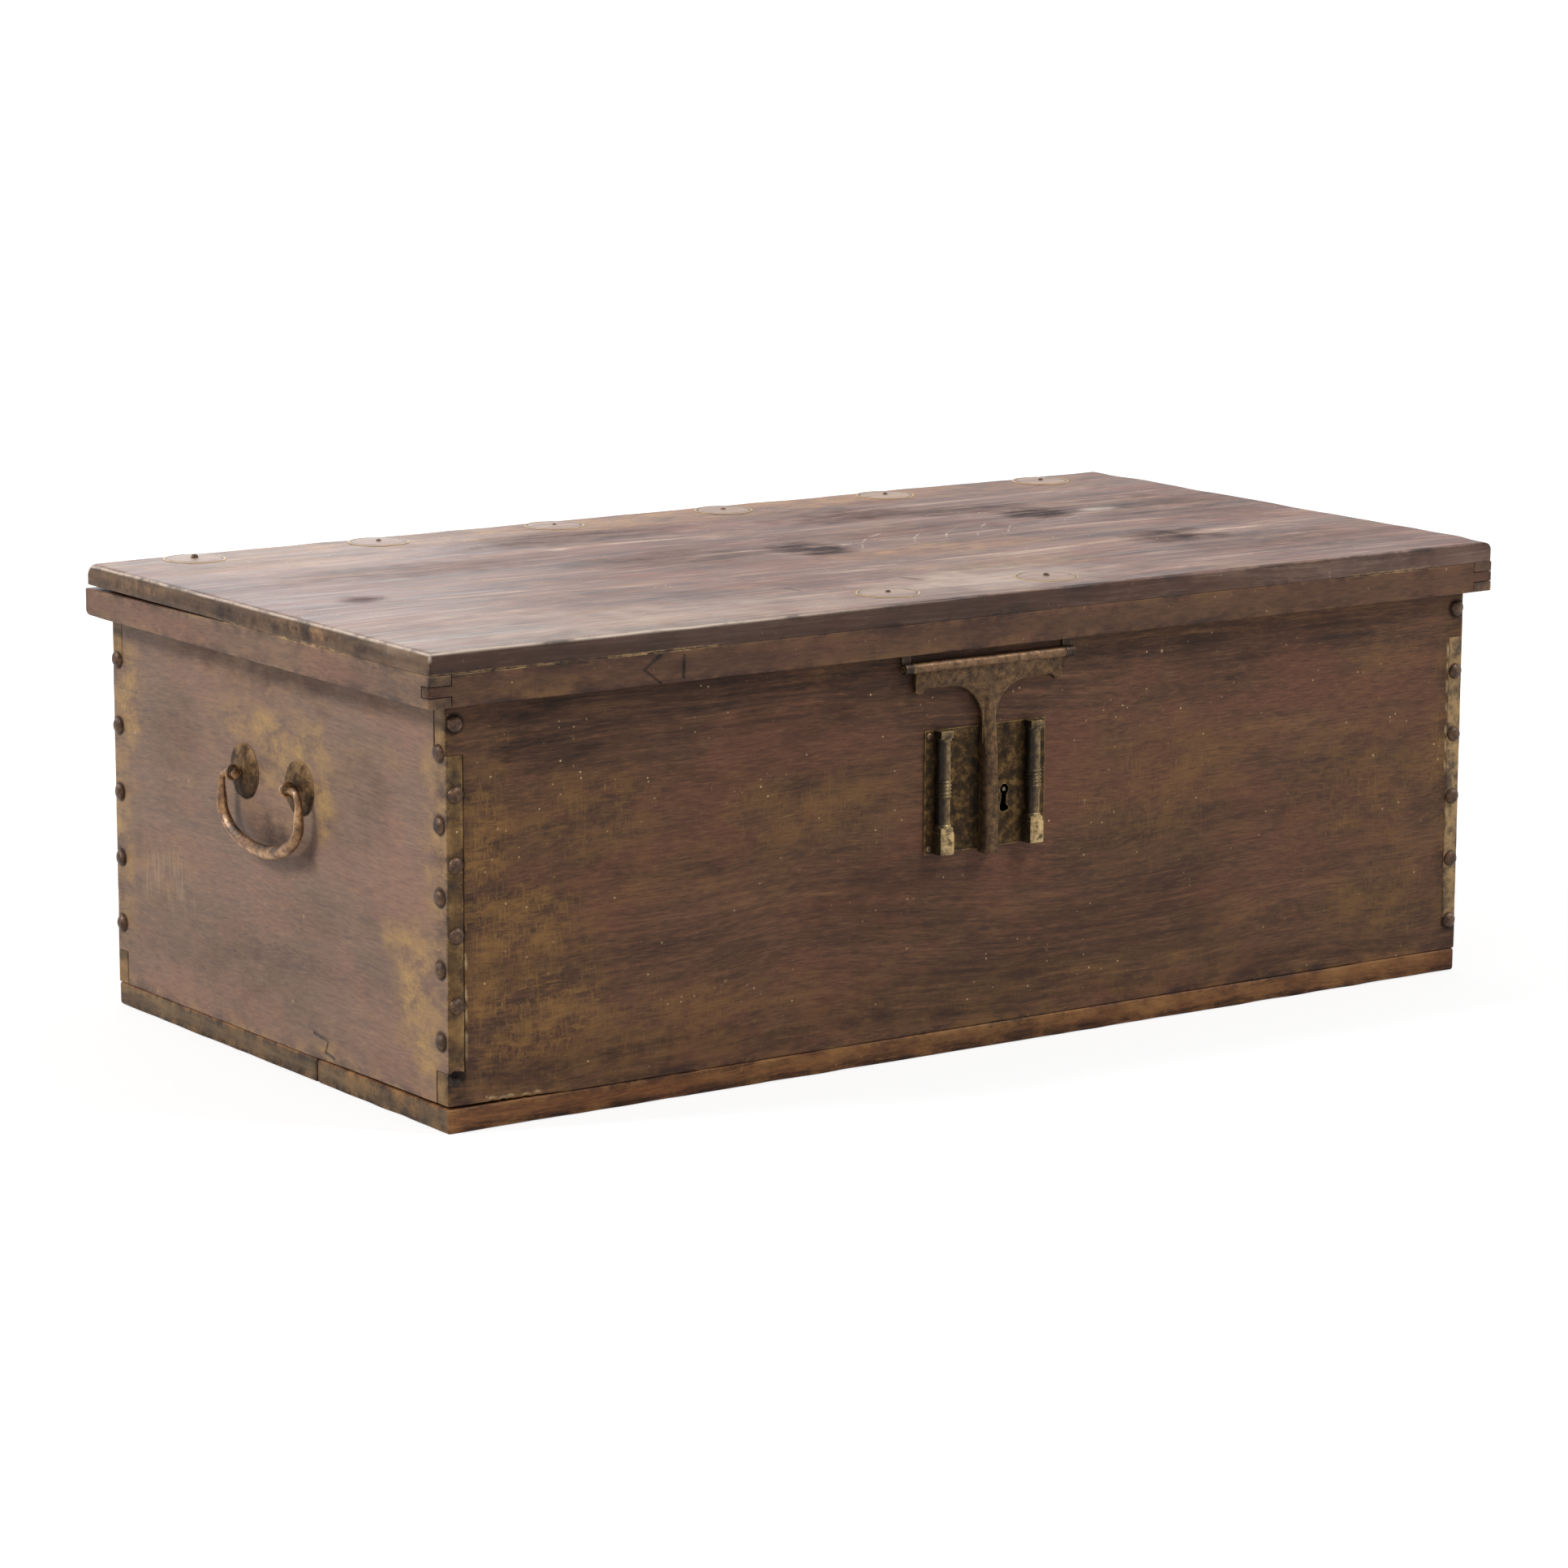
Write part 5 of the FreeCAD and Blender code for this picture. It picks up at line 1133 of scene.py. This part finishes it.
def build_plate():
    """The plate with a hooked keyhole and a slot, open at the top, for the staple."""
    staple_low, staple_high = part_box("hasp_staple")
    slot_left, slot_right = staple_low.x - SLOT_GAP, staple_high.x + SLOT_GAP
    slot_foot = staple_low.z - SLOT_DROP
    outline = [(plate_low.x, plate_low.z), (plate_high.x, plate_low.z), (plate_high.x, plate_high.z),
               (slot_right, plate_high.z), (slot_right, slot_foot), (slot_left, slot_foot),
               (slot_left, plate_high.z), (plate_low.x, plate_high.z)]
    eye = arc((0, 0), (KEYHOLE_RADIUS, KEYHOLE_RADIUS), -50, 230, 17)
    eye_z = plate_low.z + KEYHOLE_RISE
    hole = [Vector((KEYHOLE_X + x, plate_low.y, eye_z + z)) for x, z in eye + KEYHOLE_HOOK]
    form = Form()
    form.sheet([Vector((x, plate_low.y, z)) for x, z in outline], hole, Vector((0, PLATE_THICK, 0)))
    form.piece("lock_plate_worn", lock_brass, "case", "lock_brass", ["lock_plate"])


def build_column(node):
    """A turned shaft with rings between a square plinth and a square capital."""
    low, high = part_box(node)
    x = (low.x + high.x) / 2
    face = plate_low.y
    front = face - PLINTH_PROUD
    tall = high.z - low.z
    start, end = PLINTH_HEIGHT, tall - CAPITAL_HEIGHT
    collar, neck = COLUMN_RADIUS * 1.12, COLUMN_RADIUS * 0.98
    profile = [(collar, start - 0.001), (collar, start + 0.0022), (neck, start + 0.003)]
    for z in evenly(start + 0.004, end - 0.004, 110):
        swell = 0.94 + 0.06 * math.sin(math.pi * (z - start) / (end - start))
        ring = max(math.exp(-((z - 0.53 * tall - k * RING_PITCH) / RING_SOFT) ** 2) for k in range(-2, 3))
        profile.append((COLUMN_RADIUS * swell + RING_PROUD * ring, z))
    profile += [(neck, end - 0.003), (collar, end - 0.0022), (collar, end + 0.001)]
    form = Form()
    form.turned(profile, (x, face - COLUMN_RISE, low.z), (0, 0, 1), 28)
    blocks = ((1.0, 0.0, low.z, low.z + PLINTH_STEP + 0.0005, 0.001),
              (0.9, 0.0008, low.z + PLINTH_STEP, low.z + PLINTH_HEIGHT, 0.0008),
              (0.9, 0.001, high.z - CAPITAL_HEIGHT, high.z, 0.001))
    for width, inset, foot, top, bevel in blocks:
        half = width * PLINTH_HALF
        form.brick((x - half, front + inset, foot), (x + half, face + 0.001, top), bevel)
    form.piece(node + "_turned", column_brass, "case", "lock_brass", [node])


build_plate()
build_column("lock_column_left")
build_column("lock_column_right")

# Handles

ROSE_PROFILE = ((1.0, -0.05), (1.0, 0.12), (0.97, 0.26), (0.9, 0.42), (0.78, 0.6), (0.6, 0.78), (0.4, 0.91),
                (0.2, 0.98), (0.1, 1.0))
ROSE_FIT = 0.98
BAIL_END_RADIUS = 0.0034
BAIL_ARM_RADIUS = 0.0052
BAIL_GRIP_RADIUS = 0.0065
BAIL_KNOB_RADIUS = 0.0052
BAIL_BEND = 0.011
BAIL_ARM_DROP = 0.028
BAIL_INNER_END = 0.042
BAIL_SIDES = 24
BAIL_DENTS = 0.0003


def build_rose(node, side):
    """A domed plate, a little beaten."""
    low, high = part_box(node)
    radius = ROSE_FIT * (high.z - low.z) / 2
    rise = ROSE_FIT * (high.x - low.x)
    back = low.x if side > 0 else high.x
    profile = [(share * radius, height * rise) for share, height in ROSE_PROFILE]
    form = Form()
    form.turned(profile, (back, (low.y + high.y) / 2, (low.z + high.z) / 2), (side, 0, 0), 40, 0.05)
    form.piece(node + "_beaten", rose_iron, "case", "handle_iron", [node])


def bail_line(node):
    """Half of a bail's middle line as places across and down from the eyes, each with a radius."""
    low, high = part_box(node)
    arm = high.y - BAIL_ARM_RADIUS
    top = high.z - BAIL_KNOB_RADIUS
    fall = top - low.z - BAIL_GRIP_RADIUS - BAIL_ARM_DROP
    line = [(BAIL_INNER_END, 0.0, 0.6 * BAIL_KNOB_RADIUS),
            (BAIL_INNER_END + 0.0015, 0.0, 0.95 * BAIL_KNOB_RADIUS),
            (BAIL_INNER_END + 0.004, 0.0, BAIL_END_RADIUS)]
    line += [(y, 0.0, BAIL_END_RADIUS) for y in evenly(BAIL_INNER_END + 0.006, arm - BAIL_BEND, 5)]
    bend = arc((arm - BAIL_BEND, BAIL_BEND), (BAIL_BEND, BAIL_BEND), -90, 0, 7)
    line += [(y, drop, BAIL_END_RADIUS) for y, drop in bend[1:]]
    drops = evenly(BAIL_BEND, BAIL_ARM_DROP, 6)
    radii = evenly(BAIL_END_RADIUS, BAIL_ARM_RADIUS, 6)
    line += [(arm, drop, radius) for drop, radius in zip(drops[1:], radii[1:])]
    grip = arc((0, BAIL_ARM_DROP), (arm, fall), 0, 90, 25)
    radii = evenly(BAIL_ARM_RADIUS, BAIL_GRIP_RADIUS, 25)
    line += [(y, drop, radius) for (y, drop), radius in zip(grip[1:], radii[1:])]
    return line, top


def build_bail(node):
    """A forged bar with soft ridges along it."""
    low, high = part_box(node)
    x = (low.x + high.x) / 2
    half, top = bail_line(node)
    line = [(y, top - drop, radius) for y, drop, radius in half]
    line += [(-y, z, radius) for y, z, radius in reversed(line[:-1])]
    rings = []
    for i, (y, z, radius) in enumerate(line):
        before, after = line[max(i - 1, 0)], line[min(i + 1, len(line) - 1)]
        run = Vector((0, after[0] - before[0], after[1] - before[1])).normalized()
        outward = Vector((0, -run.z, run.y))
        ring = []
        for k in range(BAIL_SIDES):
            angle = 2 * math.pi * k / BAIL_SIDES
            ridge = 0.93 + 0.06 * math.cos(4 * angle)
            offset = Vector((math.cos(angle), 0, 0)) + math.sin(angle) * outward
            point = Vector((x, y, z)) + radius * ridge * offset
            ring.append(point + BAIL_DENTS * noise.noise_vector(point * 90))
        rings.append(ring)
    form = Form()
    form.lofted(rings)
    form.piece(node + "_forged", handle_iron, node, "handle_iron", [node], 60)


for side, sign in (("left", -1), ("right", 1)):
    build_bail(side + "_bail")
    for place in ("front", "rear"):
        build_rose("%s_%s_rose" % (side, place), sign)

# CAD nodes that keep their shape

hinge_nodes = [name for name in nodes if name.startswith("hinge_") and name.endswith(("_leaf", "_pin"))]
KEPT = {
    hinge_iron: hinge_nodes + ["hinge_leaf_nails", "hasp_lid_leaf"],
    nail_iron: ["bottom_nails", "lid_rail_nails", "lock_plate_nails"],
    lock_brass: ["hasp_pin"],
    lock_iron: ["hasp_staple", "lock_case", "lock_bolt", "bolt_guides", "bolt_spring", "key_post"],
    handle_iron: [name for name in nodes if name.endswith("_eye")],
}
for material, names in KEPT.items():
    for name in names:
        nodes[name].data.materials.clear()
        nodes[name].data.materials.append(material)

# Floor and light

FLOOR_HALF = 60.0
FLOOR_LIT = (0.72, 0.7, 0.68, 1)
FLOOR_SEEN = (0.4, 0.4, 0.4, 1)
FLOOR_GLOW = 0.66
SKY_STRENGTH = 0.4


def floor_material():
    """A pale floor that the camera and mirrors see as white, with the chest's soft shadow on it."""
    s = Shader("floor")
    plain = s.node("BsdfDiffuse", FLOOR_LIT)
    weak = s.node("BsdfDiffuse", FLOOR_SEEN)
    glow = s.node("Emission", named={"Strength": FLOOR_GLOW})
    white = s.node("AddShader", weak.outputs[0], glow.outputs[0])
    return s.output(s.node("MixShader", s.seen(), plain.outputs[0], white.outputs[0]))


def world_light():
    """An even sky: white to the camera and in reflections, and weaker as light."""
    world = bpy.data.worlds.new("studio")
    world.use_nodes = True
    s = Wiring(world.node_tree)
    background = s.tree.nodes["Background"]
    background.inputs["Color"].default_value = (1, 1, 1, 1)
    level = s.remap(s.seen(), 0.0, 1.0, SKY_STRENGTH, 1.0)
    s.tree.links.new(level.socket, background.inputs["Strength"])
    bpy.context.scene.world = world


def lamp(name, kind, energy, source, target=(0, 0, 0)):
    """A lamp at a source, turned to a target. Gives the lamp and its object."""
    light = bpy.data.lights.new(name, kind)
    light.energy = energy
    holder = add_object(name, light)
    holder.location = source
    holder.rotation_euler = (Vector(source) - Vector(target)).to_track_quat("Z", "Y").to_euler()
    return light, holder


def sun(name, source, strength, spread):
    """A soft sun that shines from a direction."""
    light, _ = lamp(name, "SUN", strength, source)
    light.angle = math.radians(spread)


def panel(name, place, target, size, power):
    """A flat lamp that the camera doesn't see, for a sheen on the lid."""
    light, holder = lamp(name, "AREA", power, place, target)
    light.shape = "RECTANGLE"
    light.size, light.size_y = size
    holder.visible_camera = False


corners = [(-FLOOR_HALF, -FLOOR_HALF, 0), (FLOOR_HALF, -FLOOR_HALF, 0), (FLOOR_HALF, FLOOR_HALF, 0),
           (-FLOOR_HALF, FLOOR_HALF, 0)]
floor_mesh = bpy.data.meshes.new("floor")
floor_mesh.from_pydata(corners, [], [(0, 1, 2, 3)])
floor_mesh.materials.append(floor_material())
add_object("floor", floor_mesh)
world_light()
sun("front_right", (0.6, -0.55, 1.0), 1.95, 10)
sun("rear_left", (-0.8, 0.35, 0.75), 2.35, 16)
panel("back_panel", (0.6, 3.5, 1.2), (-0.4, -0.1, 0.42), (2.2, 1.2), 17)

# The photograph's view

VIEW_PLACE = (-2.9048, -4.1488, 1.1689)
VIEW_RIGHT = Vector((0.82103, -0.57087, 0.00334))
VIEW_UP = Vector((0.10472, 0.15636, 0.98213))
VIEW_LENS = 123.6
camera_data = bpy.data.cameras.new("photo_view")
camera_data.sensor_width = 36.0
camera_data.lens = VIEW_LENS
camera = add_object("photo_view", camera_data)
turn = Matrix((VIEW_RIGHT, VIEW_UP, VIEW_RIGHT.cross(VIEW_UP))).transposed().to_4x4()
camera.matrix_world = Matrix.Translation(VIEW_PLACE) @ turn
bpy.context.scene.camera = camera
bpy.context.scene.view_settings.view_transform = "Standard"

bpy.context.view_layer.update()
